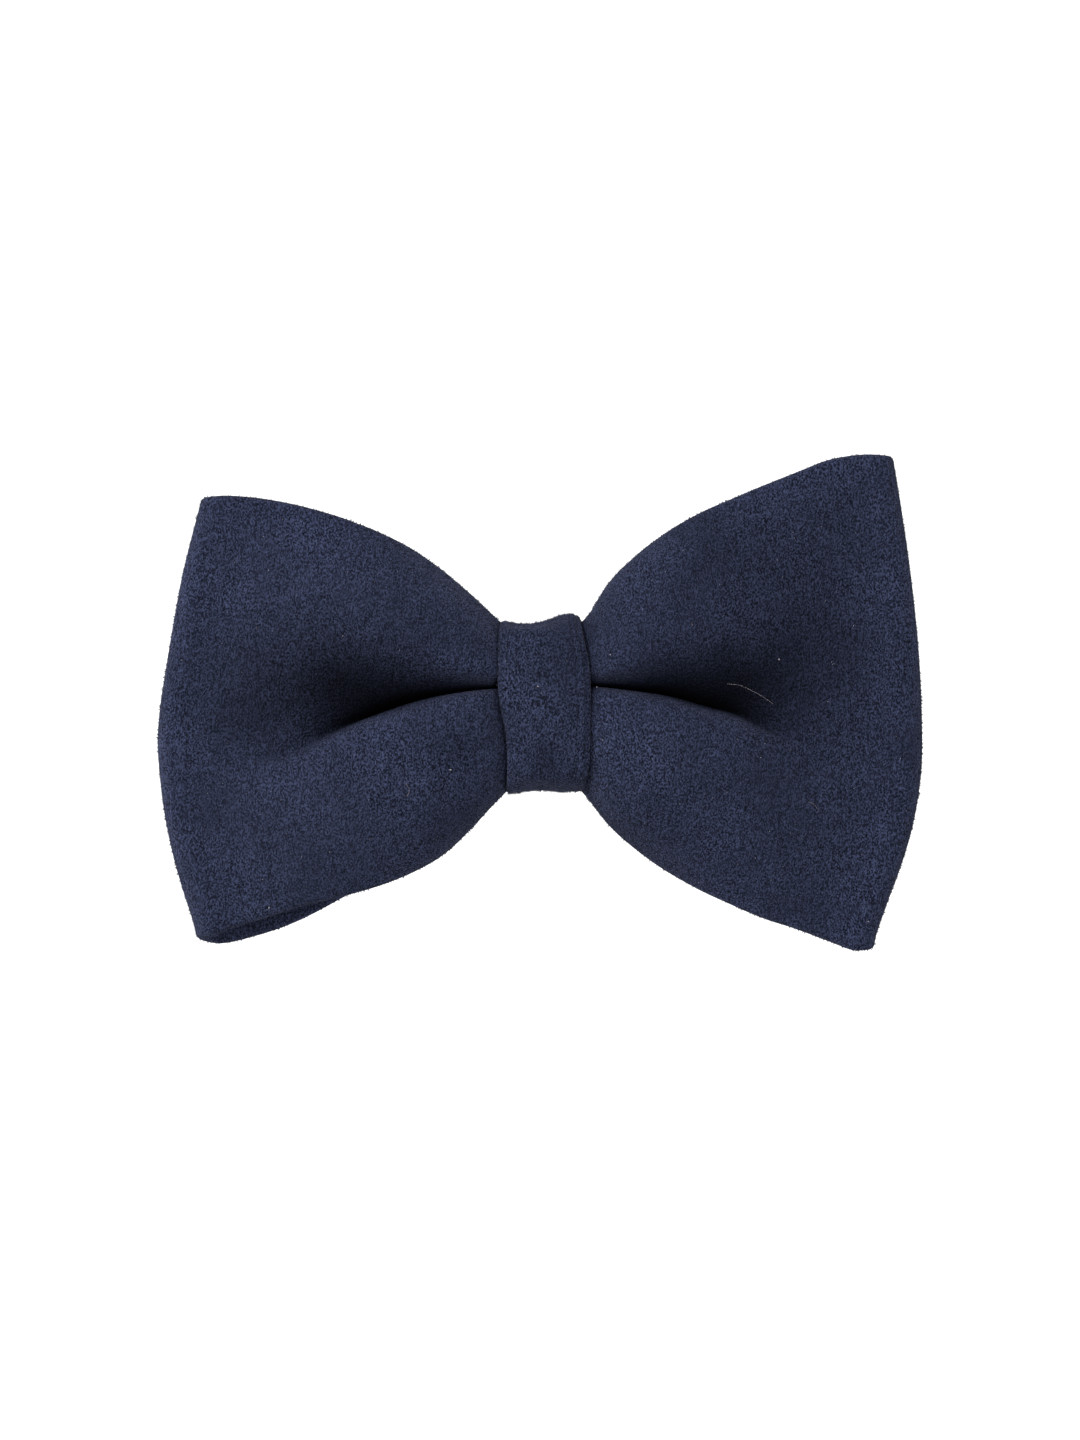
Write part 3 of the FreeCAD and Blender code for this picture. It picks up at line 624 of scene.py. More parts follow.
def sewn():
    """The clip's eight stitches: at each end of the plate, two side by side above the middle and two below."""
    low, high = box_mm("clip_stitches")
    half = THREAD_D / 2
    outer_x = high[0] - half
    clip = []
    for side in (-1, 1):
        for x in (outer_x, outer_x - STITCH_APART):
            for end in (-1, 1):
                z = sorted((end * (high[2] - half), end * STITCH_INNER_Z))
                clip += thread_turn(side * x, (low[1] + half, high[1] - half), z, 0.4, THREAD_D)
    return clip


def joined(name, grids, wrap_rows=True):
    """One mesh object from several separate grids, all wrapped the same way, with capped ends if open."""
    points, faces, start = [], [], 0
    for grid in grids:
        n, m = grid.shape[:2]
        faces += (turned_quads(n, m, wrap_rows) + start).tolist()
        if not wrap_rows:
            faces.append([start + k for k in range(m)][::-1])
            faces.append([start + (n - 1) * m + k for k in range(m)])
        points.append(grid.reshape(-1, 3))
        start += n * m
    return linked(name, new_mesh(name, np.concatenate(points), faces))


# ---------------------------------------------------------------- materials
def material(name, colour, roughness, metallic=0.0, specular=0.5):
    """A new material, its node tree, its shader and the output that gives places on the object."""
    made = bpy.data.materials.new(name)
    made.use_nodes = True
    tree = made.node_tree
    shader = tree.nodes["Principled BSDF"]
    shader.inputs["Base Color"].default_value = (*colour, 1)
    shader.inputs["Roughness"].default_value = roughness
    shader.inputs["Metallic"].default_value = metallic
    shader.inputs["Specular IOR Level"].default_value = specular
    return made, tree, shader, node(tree, "ShaderNodeTexCoord").outputs["Object"]


def node(tree, kind, **values):
    """A new node, with its inputs and settings set by name."""
    made = tree.nodes.new(kind)
    for key, value in values.items():
        if key in made.inputs:
            made.inputs[key].default_value = value
        else:
            setattr(made, key, value)
    return made


def noise(tree, place, scale, detail, **more):
    """A noise texture's value at a place. It varies around 0.5."""
    made = node(tree, "ShaderNodeTexNoise", Scale=scale, Detail=detail, **more)
    tree.links.new(place, made.inputs["Vector"])
    return made.outputs[0]


def stretched(tree, place, *scale):
    """A place with each of its numbers scaled."""
    made = node(tree, "ShaderNodeMapping", Scale=scale)
    tree.links.new(place, made.inputs[0])
    return made.outputs[0]


def relief(tree, shader, height, strength, distance):
    """Gives the shader's surface a relief. A height of 1 stands for that distance in metres."""
    bump = node(tree, "ShaderNodeBump", Strength=strength, Distance=distance)
    tree.links.new(height, bump.inputs["Height"])
    tree.links.new(bump.outputs[0], shader.inputs["Normal"])


def mixed(tree, factor, low, high):
    """A colour between low and high by factor."""
    mix = node(tree, "ShaderNodeMix", data_type="RGBA")
    for socket, value in ((mix.inputs[0], factor), (mix.inputs[6], low), (mix.inputs[7], high)):
        if isinstance(value, bpy.types.NodeSocket):
            tree.links.new(value, socket)
        elif isinstance(value, float):
            socket.default_value = value
        else:
            socket.default_value = (*value, 1)
    return mix.outputs[2]


def ranged(tree, value, low, high, to_low=0.0, to_high=1.0):
    """A value between low and high, carried over to the range from to_low to to_high."""
    made = node(tree, "ShaderNodeMapRange")
    tree.links.new(value, made.inputs[0])
    for k, number in enumerate((low, high, to_low, to_high), 1):
        made.inputs[k].default_value = number
    return made.outputs[0]


def tinted(colour, share):
    """A colour with each of its parts scaled."""
    return [c * share for c in colour]


def velvet(name, colour, settings, sheen=None):
    """Short-piled velvet: a fine grain and fine upright lines in both colour and relief, slow changes in the lie
    of the pile, and a soft sheen at glancing angles. The "hollow" attribute paints shade into its colour."""
    made, tree, shader, place = material(name, colour, 1.0, 0.0, 0.03)
    cloth = node(tree, "ShaderNodeUVMap", uv_map="cloth").outputs[0]
    pitch, unit_m = settings.line_pitch, UV_UNIT * MM
    grain = noise(tree, stretched(tree, place, 1.15, 1.0, 0.85), 1.0 / settings.grain, 1.0)
    wale = noise(tree, stretched(tree, cloth, unit_m / pitch, unit_m / (pitch * WALE_STRETCH), 1), 1.0, 2.0)
    lie = noise(tree, place, 70.0, 2.0, Roughness=0.45)
    brushed = noise(tree, place, 420.0, 2.0)
    fine = mixed(tree, ranged(tree, grain, 0.40, 0.64), tinted(colour, 0.02), tinted(colour, 3.2))
    lined = mixed(tree, ranged(tree, wale, 0.3, 0.7), tinted(colour, 0.45), tinted(colour, 1.6))
    base = mixed(tree, 0.34, fine, lined)
    slow = mixed(tree, ranged(tree, lie, 0.35, 0.7, 0.0, 0.5), base, tinted(colour, 0.62))
    brush = mixed(tree, ranged(tree, brushed, 0.4, 0.75, 0.0, 0.25), slow, tinted(colour, 1.35))
    # Painted shade: the "hollow" attribute mixes the colour towards near black.
    hollow = node(tree, "ShaderNodeAttribute", attribute_name="hollow").outputs["Fac"]
    shadowed = ranged(tree, hollow, 0.0, 1.0, 0.0, settings.hollow_shade)
    tree.links.new(mixed(tree, shadowed, brush, tinted(colour, 0.03)), shader.inputs["Base Color"])
    height = node(tree, "ShaderNodeMath", operation="MULTIPLY_ADD")
    tree.links.new(wale, height.inputs[0])
    height.inputs[1].default_value = 0.5
    tree.links.new(grain, height.inputs[2])
    relief(tree, shader, height.outputs[0], settings.relief, 0.00085)
    shader.inputs["Sheen Weight"].default_value = settings.sheen if sheen is None else sheen
    shader.inputs["Sheen Roughness"].default_value = 0.3
    shader.inputs["Sheen Tint"].default_value = (*settings.sheen_tint, 1)
    return made


def felt(name, colour):
    """Interlining felt: matt, with a fibrous mottle."""
    made, tree, shader, place = material(name, colour, 0.95, 0.0, 0.1)
    mottle = noise(tree, place, 1800.0, 4.0, Distortion=1.2)
    tree.links.new(mixed(tree, mottle, tinted(colour, 0.7), colour), shader.inputs["Base Color"])
    relief(tree, shader, mottle, 0.4, 0.0001)
    return made


def thread_finish(name, colour):
    """Spun polyester thread: a fine mottle of its fibres, and a little lustre."""
    made, tree, shader, place = material(name, colour, 0.55, 0.0, 0.35)
    fibres = mixed(tree, noise(tree, place, 9000.0, 2.0), tinted(colour, 0.6), tinted(colour, 1.6))
    tree.links.new(fibres, shader.inputs["Base Color"])
    shader.inputs["Sheen Weight"].default_value = 0.25
    return made


def plated(name, colour, roughness):
    """Nickel plate: bright metal with faint rolling lines, soft smudges and duller patches."""
    made, tree, shader, place = material(name, colour, roughness, 1.0)
    rolled = noise(tree, stretched(tree, place, 180.0, 180.0, 9000.0), 1.0, 3.0)
    smudge = noise(tree, place, 190.0, 4.0, Roughness=0.6)
    dulled = ranged(tree, smudge, 0.35, 0.7, roughness * 0.7, roughness * 1.9)
    tree.links.new(dulled, shader.inputs["Roughness"])
    streaks = mixed(tree, ranged(tree, rolled, 0.35, 0.65), tinted(colour, 0.93), tinted(colour, 1.05))
    patchy = mixed(tree, ranged(tree, smudge, 0.42, 0.75, 0.0, 0.6), streaks, tinted(colour, 0.55))
    tree.links.new(patchy, shader.inputs["Base Color"])
    relief(tree, shader, rolled, 0.08, 0.00003)
    return made


def vinyl(name, colour):
    """Soft milky vinyl: slightly see-into, with a faint moulded texture."""
    made, tree, shader, place = material(name, colour, 0.42, 0.0, 0.45)
    moulded = noise(tree, place, 1500.0, 3.0)
    tree.links.new(ranged(tree, moulded, 0.3, 0.7, 0.34, 0.52), shader.inputs["Roughness"])
    relief(tree, shader, moulded, 0.15, 0.00005)
    shader.inputs["Subsurface Weight"].default_value = 0.25
    shader.inputs["Subsurface Radius"].default_value = (0.0012, 0.0011, 0.001)
    return made


# ---------------------------------------------------------------- settings
class VelvetSettings(bpy.types.PropertyGroup):
    colour: FloatVectorProperty(name="Pile colour", description="Colour of the velvet's pile", subtype="COLOR",
                                size=3, default=(0.0118, 0.0146, 0.0290), min=0, max=1)
    sheen: FloatProperty(name="Sheen", description="Strength of the glow at glancing angles", default=0.11,
                         min=0, max=1)
    sheen_tint: FloatVectorProperty(name="Sheen tint", description="Colour of that glow", subtype="COLOR", size=3,
                                    default=(0.38, 0.39, 0.58), min=0, max=1)
    grain: FloatProperty(name="Grain", description="Size of the pile's grain", default=0.00029, unit="LENGTH")
    line_pitch: FloatProperty(name="Line pitch", description="Spacing of the fine upright lines", default=0.00055,
                              unit="LENGTH")
    relief: FloatProperty(name="Relief", description="Strength of the pile's relief", default=0.8, min=0, max=1)
    # How far the painted shade of the "hollow" attribute darkens the velvet's colour.
    hollow_shade: FloatProperty(name="Pleat shade", description="How much darker the pile looks deep in a pleat",
                                default=0.97, min=0, max=1)
    tufts: IntProperty(name="Tufts", description="How many tufts stand out of the bow's pile", default=42000,
                       min=0)
    tuft_length: FloatProperty(name="Tuft length", description="Length of a tuft", default=0.00042,
                               unit="LENGTH")


class ClipSettings(bpy.types.PropertyGroup):
    metal: FloatVectorProperty(name="Metal colour", description="Colour of the clip's plating", subtype="COLOR",
                               size=3, default=(0.45, 0.44, 0.42), min=0, max=1)
    grip: FloatVectorProperty(name="Grip colour", description="Colour of the soft grip caps", subtype="COLOR",
                              size=3, default=(0.50, 0.50, 0.47), min=0, max=1)
    wire: FloatProperty(name="Spring wire", description="Diameter of the springs' wire", default=0.0005,
                        unit="LENGTH")
    turns: FloatProperty(name="Spring turns", description="Whole turns in each spring's coil", default=4.0, min=1)


class StageSettings(bpy.types.PropertyGroup):
    lens: FloatProperty(name="Lens", description="Focal length of the camera", default=100.0, unit="CAMERA")
    frame_height: FloatProperty(name="Frame height", description="Height of the view at the bow", default=0.2261,
                                unit="LENGTH")
    key: FloatProperty(name="Key light", description="Power of the main soft light", default=22.0, min=0)
    fill: FloatProperty(name="Fill light", description="Power of the low front light", default=15.0, min=0)
    side: FloatProperty(name="Side light", description="Power of the light on the left", default=22.0, min=0)
    ambient: FloatProperty(name="Ambient", description="Brightness of the sky overhead", default=0.3, min=0)
    front_glow: FloatProperty(name="Front glow", description="Brightness of the floor in front", default=0.40,
                              min=0)


# ---------------------------------------------------------------- pieces
def settled(piece, finish, slot_name, *replaced):
    """The piece with its finish, standing for the replaced CAD nodes, which are hidden. slot_name is not used."""
    piece.data.materials.clear()
    piece.data.materials.append(finish)
    if replaced:
        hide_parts(*replaced)
    return piece


def sheen_steps(painted_shade, rng):
    """For each face of the bow, how many steps its sheen has faded with the shade painted there, which gives the
    shaded copies of the velvet. The fade runs in proportion from PLEAT_RIM to PLEAT_DEEP, and a random part of a
    step is added to each face, so that no step shows as an edge."""
    deepest = np.maximum(np.maximum(painted_shade, np.roll(painted_shade, -1, 0)), np.roll(painted_shade, -1, 1))
    fade = np.clip((deepest - PLEAT_RIM) / (PLEAT_DEEP - PLEAT_RIM), 0, 1) * (SHEEN_STEPS - 1)
    return np.floor(fade + rng.random_sample(fade.shape)).astype(np.int32)


def painted(piece, painted_shade):
    """The piece's "hollow" attribute of painted shade, one number from 0 to 1 for each point of its grid."""
    layer = piece.data.attributes.new("hollow", "FLOAT", "POINT")
    layer.data.foreach_set("value", painted_shade.ravel().astype(np.float32))


class BOWTIE_OT_bow(bpy.types.Operator):
    """Make the bow: one padded loop of velvet, pleated in front and pinched at the waist"""
    bl_idname = "bowtie.bow"
    bl_label = "Bow"

    def execute(self, context):
        settings = context.scene.bowtie_velvet
        skin = loop_skin()
        points = leaf_section(skin, 0.0, LEAF_T, 0)
        bow = grid_object("bow_velvet", points, True, True, lengths(points))
        # Painted shade on the bow's outer face; none on its edges and inner face.
        painted_shade = np.zeros(points.shape[:2])
        painted_shade[:, :ROWS] = skin[..., 3]
        painted(bow, painted_shade)
        settled(bow, velvet("navy_velvet", settings.colour, settings), "bow_cloth", "bow_loop")
        # Shaded copies of the velvet with less sheen, laid on each face by how much shade is painted there.
        for step in range(1, SHEEN_STEPS):
            left = settings.sheen * (1 - step / (SHEEN_STEPS - 1))
            bow.data.materials.append(velvet("navy_velvet_%d" % step, settings.colour, settings, left))
        faded = sheen_steps(painted_shade, np.random.RandomState(5))
        bow.data.polygons.foreach_set("material_index", faded.ravel())
        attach(bow, BOW_BODY)
        return {"FINISHED"}


class BOWTIE_OT_pile(bpy.types.Operator):
    """Stand fine tufts all over the bow and the knot, and lay specks and fibres of lint on them"""
    bl_idname = "bowtie.pile"
    bl_label = "Pile and lint"

    def execute(self, context):
        settings = context.scene.bowtie_velvet
        rng = np.random.RandomState(17)
        finish = velvet("velvet_tufts", tinted(settings.colour, 1.15), settings)
        for cloth, share in (("bow", 1.0), ("knot", 0.09)):
            source = bpy.data.objects[cloth + "_velvet"]
            count = int(settings.tufts * share)
            pile = tufts(cloth + "_velvet_pile", source, count, settings.tuft_length / MM, rng)
            settled(pile, finish, cloth + "_cloth")
            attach(pile, BOW_BODY)
        lint = lint_specks("lint", bpy.data.objects["bow_velvet"], bpy.data.objects["knot_velvet"], rng)
        settled(lint, material("pale_lint", (0.18, 0.165, 0.18), 0.8, 0.0, 0.2)[0], "bow_cloth")
        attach(lint, BOW_BODY)
        return {"FINISHED"}


def triangles_of(piece):
    """For each of the piece's triangles, its corners in millimetres, their normals and the shade painted at them.
    """
    mesh, numbers = piece.data, triangle_points(piece.data)
    corners = read(mesh.vertices, "co", 3)[numbers].astype(float) / MM
    normals = read(mesh.vertices, "normal", 3)[numbers].astype(float)
    return corners, normals, read(mesh.attributes["hollow"].data, "value", 1)[numbers][..., 0]


# In millimetres: half the knot's width, how far under it the bow's tufts go on, and how deep a tuft is rooted.
KNOT_HALF_W = 7.2
UNDER_KNOT = 0.6
TUFT_ROOT = 0.06


def tufts(name, cloth, count, length, rng):
    """Slim three-sided cones scattered over a cloth: a foot just under it, and a tip along its normal that leans
    down and at random. Places are drawn by triangle area, fewer where shade is painted, and none are inside the
    loop of the bow."""
    corners, normals, hollow = triangles_of(cloth)
    a, b, c = corners[:, 0], corners[:, 1], corners[:, 2]
    area = np.linalg.norm(np.cross(b - a, c - a), axis=1)
    middle, facing = corners.mean(1), unit(normals.mean(1))
    inwards = (facing[:, 1] * np.sign(MID_Y - middle[:, 1]) > 0.3) & (abs(middle[:, 0]) > KNOT_HALF_W)
    under_knot = (abs(middle[:, 0]) < KNOT_HALF_W - UNDER_KNOT) & name.startswith("bow")
    area = area * np.clip(1 - 2.5 * hollow.max(1), 0, 1)
    area = np.where(inwards | under_knot, 0, area)
    chosen = np.searchsorted(np.cumsum(area) / area.sum(), rng.rand(count))
    u, v = rng.rand(2, count)
    u, v = np.where(u + v > 1, 1 - u, u)[:, None], np.where(u + v > 1, 1 - v, v)[:, None]
    weights = np.stack([1 - u - v, u, v], 1)
    foot = (corners[chosen] * weights).sum(1)
    normal = unit((normals[chosen] * weights).sum(1))
    lean = rng.normal(0, 0.6, (count, 3)) + [0, 0, -0.2]
    tip = foot + length * rng.uniform(0.5, 1.15, (count, 1)) * unit(normal + lean)
    side = unit(np.cross(normal, rng.normal(0, 1, (count, 3))))
    width = length * rng.uniform(0.15, 0.28, (count, 1))
    turn = [0, TAU / 3, 2 * TAU / 3]
    root, across = foot - TUFT_ROOT * normal, np.cross(normal, side)
    base = [root + width * (side * math.cos(t) + across * math.sin(t)) for t in turn]
    points = np.stack([*base, tip], 1)
    face = np.array([[0, 1, 3], [1, 2, 3], [2, 0, 3], [0, 2, 1]])
    faces = (np.arange(count)[:, None, None] * 4 + face[None]).reshape(-1, 3)
    return linked(name, new_mesh(name, points, faces.tolist()))


# Lint, in millimetres on the front: specks as (x, z, size), and fibres as lists of (x, z).
SPECKS = [(36.4, 6.9, 0.17), (8.1, 2.6, 0.10), (-1.0, 2.7, 0.13), (-0.4, 1.6, 0.08), (10.2, 7.6, 0.10),
          (-14.5, -10.2, 0.15), (-43.0, -31.8, 0.14), (20.9, -15.5, 0.08), (50.6, -34.0, 0.10),
          (-43.0, 20.8, 0.11), (9.0, -5.6, 0.09), (33.5, -8.3, 0.08), (-31.2, 10.5, 0.08), (48.2, 12.2, 0.09),
          (-22.4, 8.3, 0.07), (38.2, -20.1, 0.07), (-50.2, -12.4, 0.07), (21.5, 23.8, 0.07)]
FIBRES = [[(28.3, 3.1), (30.2, 2.9), (31.9, 2.2), (33.6, 1.3), (35.5, 0.0)],
          [(-21.4, -12.2), (-20.9, -13.4), (-21.3, -14.3)],
          [(41.0, -15.2), (41.9, -15.6), (42.5, -16.4)]]
# How many small specks are tried, how far to look for cloth behind lint, and a fibre's radius and distance.
SMALL_SPECKS = 260
LINT_REACH = 0.9
FIBRE_R, FIBRE_OFF = 0.014, 0.16


def lint_specks(name, bow, knot, rng):
    """Bits of lint: specks as small uneven balls and fibres as hair-thin tubes, each just in front of the
    foremost cloth near it. Small specks at random places stay clear of both pleats."""
    clouds = [triangles_of(piece)[0].reshape(-1, 3) for piece in (bow, knot)]
    cloud = np.concatenate(clouds)
    cloud = cloud[cloud[:, 1] < MID_Y]

    def near(x, z):
        return np.hypot(cloud[:, 0] - x, cloud[:, 2] - z) < LINT_REACH

    def rest(x, z):
        return cloud[near(x, z), 1].min()

    small = np.stack([rng.uniform(-57, 57, SMALL_SPECKS), rng.uniform(-34, 34, SMALL_SPECKS),
                      rng.uniform(0.03, 0.065, SMALL_SPECKS)], -1)
    small = [(x, z, size) for x, z, size in small if near(x, z).any() and not (8 < abs(x) < 42 and -5 < z < 11)]
    grids = []
    for x, z, size in SPECKS + small:
        a, b = np.linspace(0, math.pi, 8)[:, None], np.linspace(0, TAU, 10, endpoint=False)[None, :]
        ball = np.stack([np.sin(a) * np.cos(b), np.cos(a) * np.ones_like(b), np.sin(a) * np.sin(b)], -1)
        scale = size * rng.uniform(0.6, 1.1, 3)
        grids.append(ball[1:-1] * scale + [x, rest(x, z) - size * 0.6, z])
    for route in FIBRES:
        path = np.array([[x, rest(x, z) - FIBRE_OFF, z] for x, z in route])
        t = np.linspace(0, len(path) - 1, 40)
        knots = np.arange(len(path))
        line = np.stack([through(list(zip(knots, path[:, k])), t) for k in range(3)], -1)
        grids.append(tube_along(line, FIBRE_R, 6))
    return joined(name, grids, False)


class BOWTIE_OT_interlining(bpy.types.Operator):
    """Make the felt that stiffens the bow from inside its cloth"""
    bl_idname = "bowtie.interlining"
    bl_label = "Interlining"

    def execute(self, context):
        points = leaf_section(loop_skin()[::2], 0.7, LEAF_T - 0.6, 1)
        inner = grid_object("bow_felt", points, True, True)
        settled(inner, felt("interlining_felt", (0.35, 0.34, 0.32)), "interlining", "bow_interlining")
        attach(inner, BOW_BODY)
        strip = grid_object("knot_felt", band_points(0.5, 1.0)[3:-3], False, True, caps=True)
        settled(strip, inner.data.materials[0], "interlining", "knot_interlining")
        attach(strip, BOW_BODY)
        return {"FINISHED"}


class BOWTIE_OT_knot(bpy.types.Operator):
    """Make the velvet band that covers the waist"""
    bl_idname = "bowtie.knot"
    bl_label = "Knot band"

    def execute(self, context):
        settings = context.scene.bowtie_velvet
        points = band_points(BAND_T, 0.0)
        uv = (np.linspace(0, 0.8 / WALE_STRETCH, len(points) + 1),
              np.linspace(0, 0.3 * WALE_STRETCH, points.shape[1] + 1))
        band = grid_object("knot_velvet", points, False, True, uv, caps=True)
        # Painted shade on the knot's front, and a flat 0.2 of painted shade on its rear half.
        painted(band, np.where(points[..., 1] < MID_Y, knot_shade(points[..., 0], points[..., 2]), 0.2))
        finish = velvet("knot_velvet", tinted(settings.colour, 0.93), settings)
        settled(band, finish, "knot_cloth", "knot_band")
        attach(band, BOW_BODY)
        return {"FINISHED"}


def knot_shade(x, z):
    """How much shade is painted on the knot's front: in its patches, along its folded edge and beside both sides.
    """
    right, left = through(BAND_RIGHT, z), through(BAND_LEFT, z)
    painted_shade = shaded(np.zeros_like(x), x, z, SHADE_PATCHES["knot"], 1.0)
    wander = 0.12 * unevenness(2.2 * z, 1.3 * z + 5, 21)
    painted_shade = darker(painted_shade, 0.4 * np.exp(-(((right - 0.85 + wander - x) / 0.16) ** 2)))
    inwards = np.minimum(right - x, x - left)
    return darker(painted_shade, 0.7 * np.clip(1 - (inwards + wander) / 0.3, 0, 1))


class BOWTIE_OT_threads(bpy.types.Operator):
    """Make the waist's binding, the knot's whip stitches and the clip's stitches as twisted threads"""
    bl_idname = "bowtie.threads"
    bl_label = "Threads"

    def execute(self, context):
        finish = thread_finish("navy_thread", (0.012, 0.015, 0.030))
        for name, strands in (("waist_binding", wound("waist_binding", THREAD_D, 3.4)),
                              ("knot_stitches", wound("knot_stitches", FINE_THREAD_D, 0.15)),
                              ("clip_stitches", sewn())):
            piece = joined(name + "_thread", strands)
            settled(piece, finish, "thread", name)
            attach(piece, BOW_BODY)
        return {"FINISHED"}


class BOWTIE_OT_clip(bpy.types.Operator):
    """Give the clip's plate, jaws and pins their plating, and the grip caps their vinyl"""
    bl_idname = "bowtie.clip"
    bl_label = "Clip"

    def execute(self, context):
        settings = context.scene.bowtie_clip
        nickel = plated("nickel_plate", settings.metal, 0.24)
        bright = plated("pin_steel", tinted(settings.metal, 1.1), 0.18)
        soft = vinyl("grip_vinyl", settings.grip)
        dress(NODES["clip_plate"], nickel, 0.00012)
        for side in ("left", "right"):
            dress(NODES[side + "_jaw"], nickel, 0.00012)
            dress(NODES[side + "_pin"], bright, 0.0)
            dress(NODES[side + "_grip_pad"], soft, 0.0002)
        return {"FINISHED"}


def dress(cad_node, finish, rounding):
    """Gives a CAD node its finish, and rounds its sharp edges by that many metres."""
    cad_node.data.materials.clear()
    cad_node.data.materials.append(finish)
    if rounding:
        weld = cad_node.modifiers.new("weld", "WELD")
        weld.merge_threshold = 0.000002
        bevel = cad_node.modifiers.new("rounding", "BEVEL")
        bevel.width = rounding
        bevel.segments = 2
        bevel.limit_method = "ANGLE"
        bevel.angle_limit = math.radians(40)
        bevel.harden_normals = True


class BOWTIE_OT_springs(bpy.types.Operator):
    """Make the two torsion springs: a wire coil round each pin with a leg on the plate and one on the lever"""
    bl_idname = "bowtie.springs"
    bl_label = "Springs"

    def execute(self, context):
        settings = context.scene.bowtie_clip
        steel = plated("spring_steel", (0.45, 0.45, 0.46), 0.3)
        for side, sign in (("right", 1), ("left", -1)):
            path = spring_path(settings)
            path[:, 0] *= sign
            spring = joined(side + "_spring_wire", [tube_along(path, settings.wire / MM / 2, 12)], False)
            settled(spring, steel, "spring_steel", side + "_spring")
            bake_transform(spring)
        return {"FINISHED"}


def spring_path(settings):
    """The right spring's wire: a straight leg, a helix of even pitch round the pin, and a straight leg."""
    radius = settings.wire / MM / 2
    centre = PIN_CENTRE
    coil_r = SPRING_HIGH[0] - centre[0] - radius
    low_leg = np.array([SPRING_LOW[0], SPRING_LOW[1] + radius])
    high_leg = np.array([SPRING_LOW[0], SPRING_HIGH[1] - radius])
    height = SPRING_HIGH[2] - radius

    def leaves(leg, sign):
        d = leg - centre
        return math.atan2(d[1], d[0]) + sign * math.acos(coil_r / math.hypot(*d))

    start, end = leaves(low_leg, 1), leaves(high_leg, -1)
    sweep = TAU * settings.turns + (end - start) % TAU
    t = np.linspace(0, 1, 220)
    angle = start + sweep * t
    coil = np.stack([centre[0] + coil_r * np.cos(angle), centre[1] + coil_r * np.sin(angle),
                     -height + 2 * height * t], -1)
    run = np.linspace(0, 1, 14)[:, None]
    first = np.array([*low_leg, -height]) * (1 - run) + coil[0] * run
    last = coil[-1] * (1 - run) + np.array([*high_leg, height]) * run
    return np.concatenate([first[:-1], coil, last[1:]])


# Each light's name, place and size, and where the camera stands, in metres.
LIGHTS = (("key", (-0.42, -0.85, 0.72), 0.60), ("fill", (0.40, -1.25, -0.50), 0.9),
          ("side", (-1.25, -0.25, 0.10), 0.8))
CAMERA_X, CAMERA_Z = -0.0007, -0.0025
# The floor, in millimetres: its height, its flat part's radius, its wall's radius, bend and top.
FLOOR_Z, FLAT_R, WALL_R, WALL_BEND, WALL_TOP = -1700.0, 1200.0, 4600.0, 1800.0, 4200.0


class BOWTIE_OT_stage(bpy.types.Operator):
    """Set the pale floor, the soft lights and the camera"""
    bl_idname = "bowtie.stage"
    bl_label = "Stage"

    def execute(self, context):
        settings = context.scene.bowtie_stage
        floor = bowl_floor()
        floor.data.materials.append(pale_floor(settings))
        for name, place, size in LIGHTS:
            soft_light(name, place, size, getattr(settings, name))
        world = bpy.data.worlds.new("pale_room")
        world.use_nodes = True
        sky = world.node_tree.nodes["Background"].inputs
        sky["Color"].default_value = (1, 1, 1, 1)
        sky["Strength"].default_value = settings.ambient
        context.scene.world = world
        context.scene.view_settings.view_transform = "Standard"
        lens = bpy.data.cameras.new("camera")
        lens.lens = settings.lens
        lens.clip_start, lens.clip_end = 0.01, 50
        camera = bpy.data.objects.new("camera", lens)
        away = settings.frame_height * settings.lens / lens.sensor_width
        camera.location = (CAMERA_X, MID_Y * MM - away, CAMERA_Z)
        camera.rotation_euler = (math.pi / 2, 0, 0)
        context.scene.collection.objects.link(camera)
        context.scene.camera = camera
        return {"FINISHED"}


def bowl_floor():
    """A wide round floor that rises into a wall all round: floor, quarter circle and wall, spun as a profile."""
    turn = np.linspace(0, math.pi / 2, 24)
    r = np.concatenate([[1.0, FLAT_R], WALL_R - WALL_BEND + WALL_BEND * np.sin(turn), [WALL_R]])[:, None]
    z = np.concatenate([[FLOOR_Z, FLOOR_Z], FLOOR_Z + WALL_BEND - WALL_BEND * np.cos(turn), [WALL_TOP]])
    spin = np.linspace(0, TAU, 96, endpoint=False)
    points = np.stack([r * np.cos(spin), r * np.sin(spin), z[:, None] * np.ones(len(spin))], -1)
    n, m = points.shape[:2]
    faces = turned_quads(n, m, False).tolist() + [list(range(m))[::-1]]
    floor = bpy.data.objects.new("floor", new_mesh("floor", points, faces))
    bpy.context.scene.collection.objects.link(floor)
    return floor


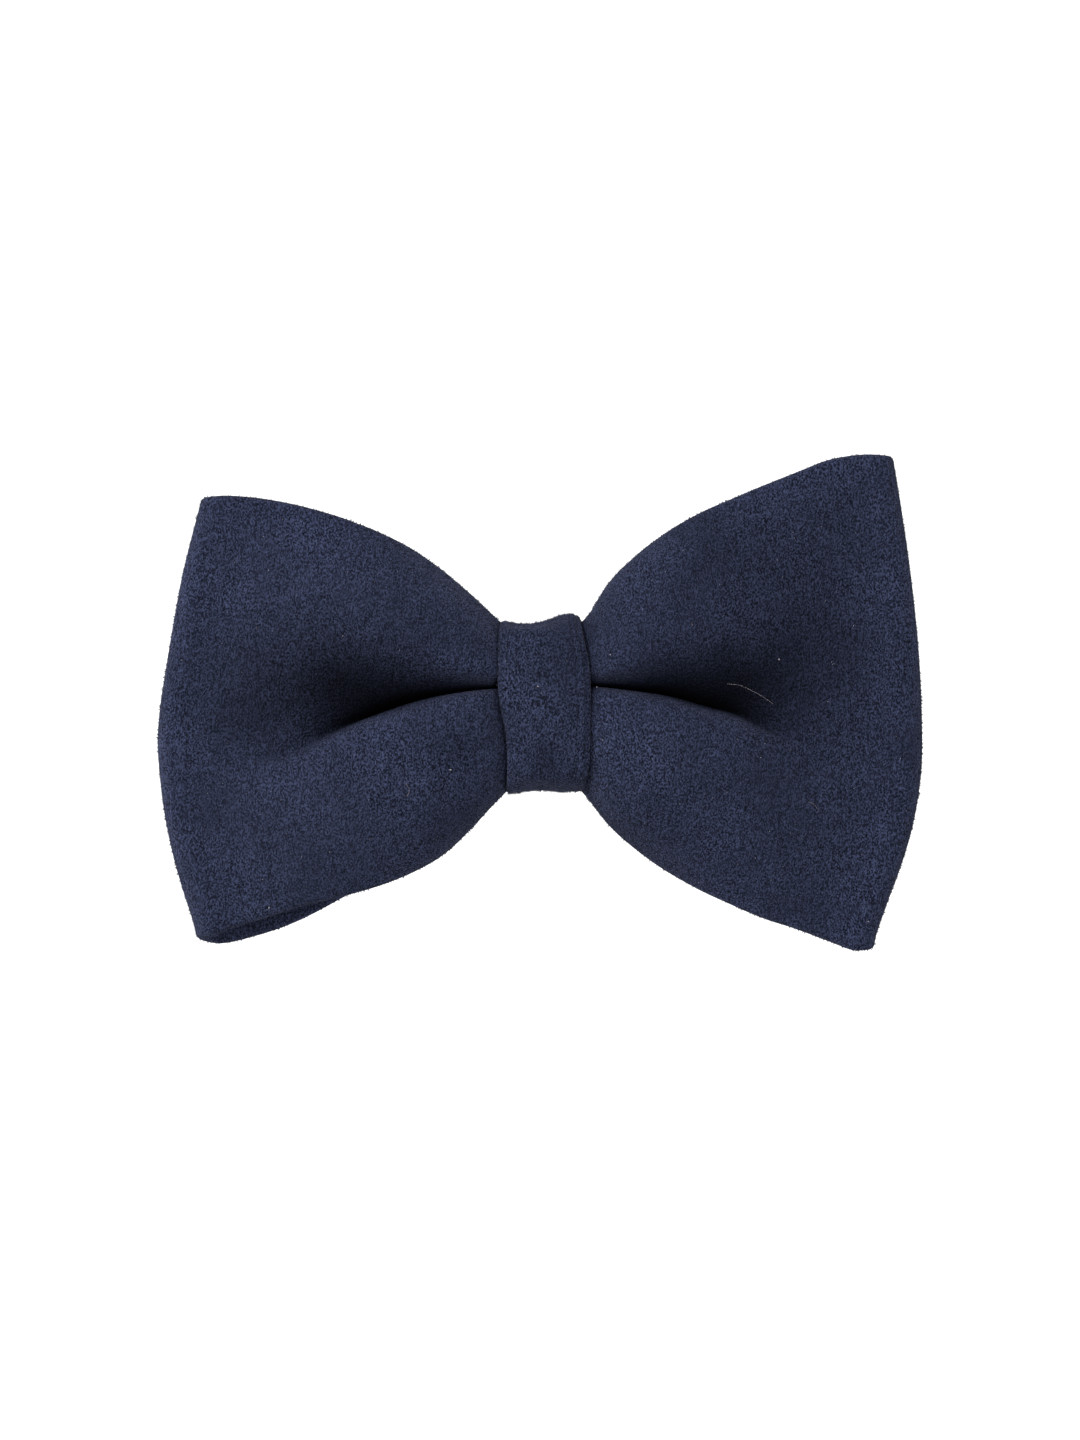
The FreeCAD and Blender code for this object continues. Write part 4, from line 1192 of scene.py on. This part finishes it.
def pale_floor(settings):
    """A pale seamless floor with a light of its own, brighter behind the bow than in front of it."""
    made, tree, shader, place = material("pale_floor", (0.3, 0.3, 0.3), 0.9, 0.0, 0.1)
    split = node(tree, "ShaderNodeSeparateXYZ")
    tree.links.new(place, split.inputs[0])
    glow = ranged(tree, split.outputs[1], -0.2, 1.6, settings.front_glow, 1.05)
    tree.links.new(glow, shader.inputs["Emission Strength"])
    shader.inputs["Emission Color"].default_value = (1, 1, 1, 1)
    return made


def soft_light(name, place, size, power):
    """A round light of that size in metres, aimed at the bow."""
    light = bpy.data.lights.new(name, "AREA")
    light.shape = "DISK"
    light.size = size
    light.energy = power
    lamp = bpy.data.objects.new(name, light)
    lamp.location = place
    lamp.visible_camera = False
    aim = Vector((0, MID_Y * MM, 0)) - Vector(place)
    lamp.rotation_euler = aim.to_track_quat("-Z", "Y").to_euler()
    bpy.context.scene.collection.objects.link(lamp)


class BOWTIE_PT_panel(bpy.types.Panel):
    """Lists the bow tie's settings and the pieces that can be made"""
    bl_idname = "BOWTIE_PT_panel"
    bl_label = "Bow tie"
    bl_space_type = "VIEW_3D"
    bl_region_type = "UI"
    bl_category = "Bow tie"

    def draw(self, context):
        for group in SETTINGS:
            box = self.layout.box()
            settings = getattr(context.scene, group)
            for key in settings.__annotations__:
                box.prop(settings, key)
        for operator in OPERATORS:
            self.layout.operator(operator.bl_idname)


SETTINGS = {"bowtie_velvet": VelvetSettings, "bowtie_clip": ClipSettings, "bowtie_stage": StageSettings}
OPERATORS = (BOWTIE_OT_bow, BOWTIE_OT_interlining, BOWTIE_OT_knot, BOWTIE_OT_pile, BOWTIE_OT_threads,
             BOWTIE_OT_clip, BOWTIE_OT_springs, BOWTIE_OT_stage)


def register():
    for cls in (*SETTINGS.values(), *OPERATORS, BOWTIE_PT_panel):
        bpy.utils.register_class(cls)
    for name, cls in SETTINGS.items():
        setattr(bpy.types.Scene, name, PointerProperty(type=cls))


def unregister():
    for name in SETTINGS:
        delattr(bpy.types.Scene, name)
    for cls in (BOWTIE_PT_panel, *reversed(OPERATORS), *reversed(SETTINGS.values())):
        bpy.utils.unregister_class(cls)


def main():
    register()
    for operator in OPERATORS:
        group, name = operator.bl_idname.split(".")
        getattr(getattr(bpy.ops, group), name)()


if __name__ == "__main__":
    main()
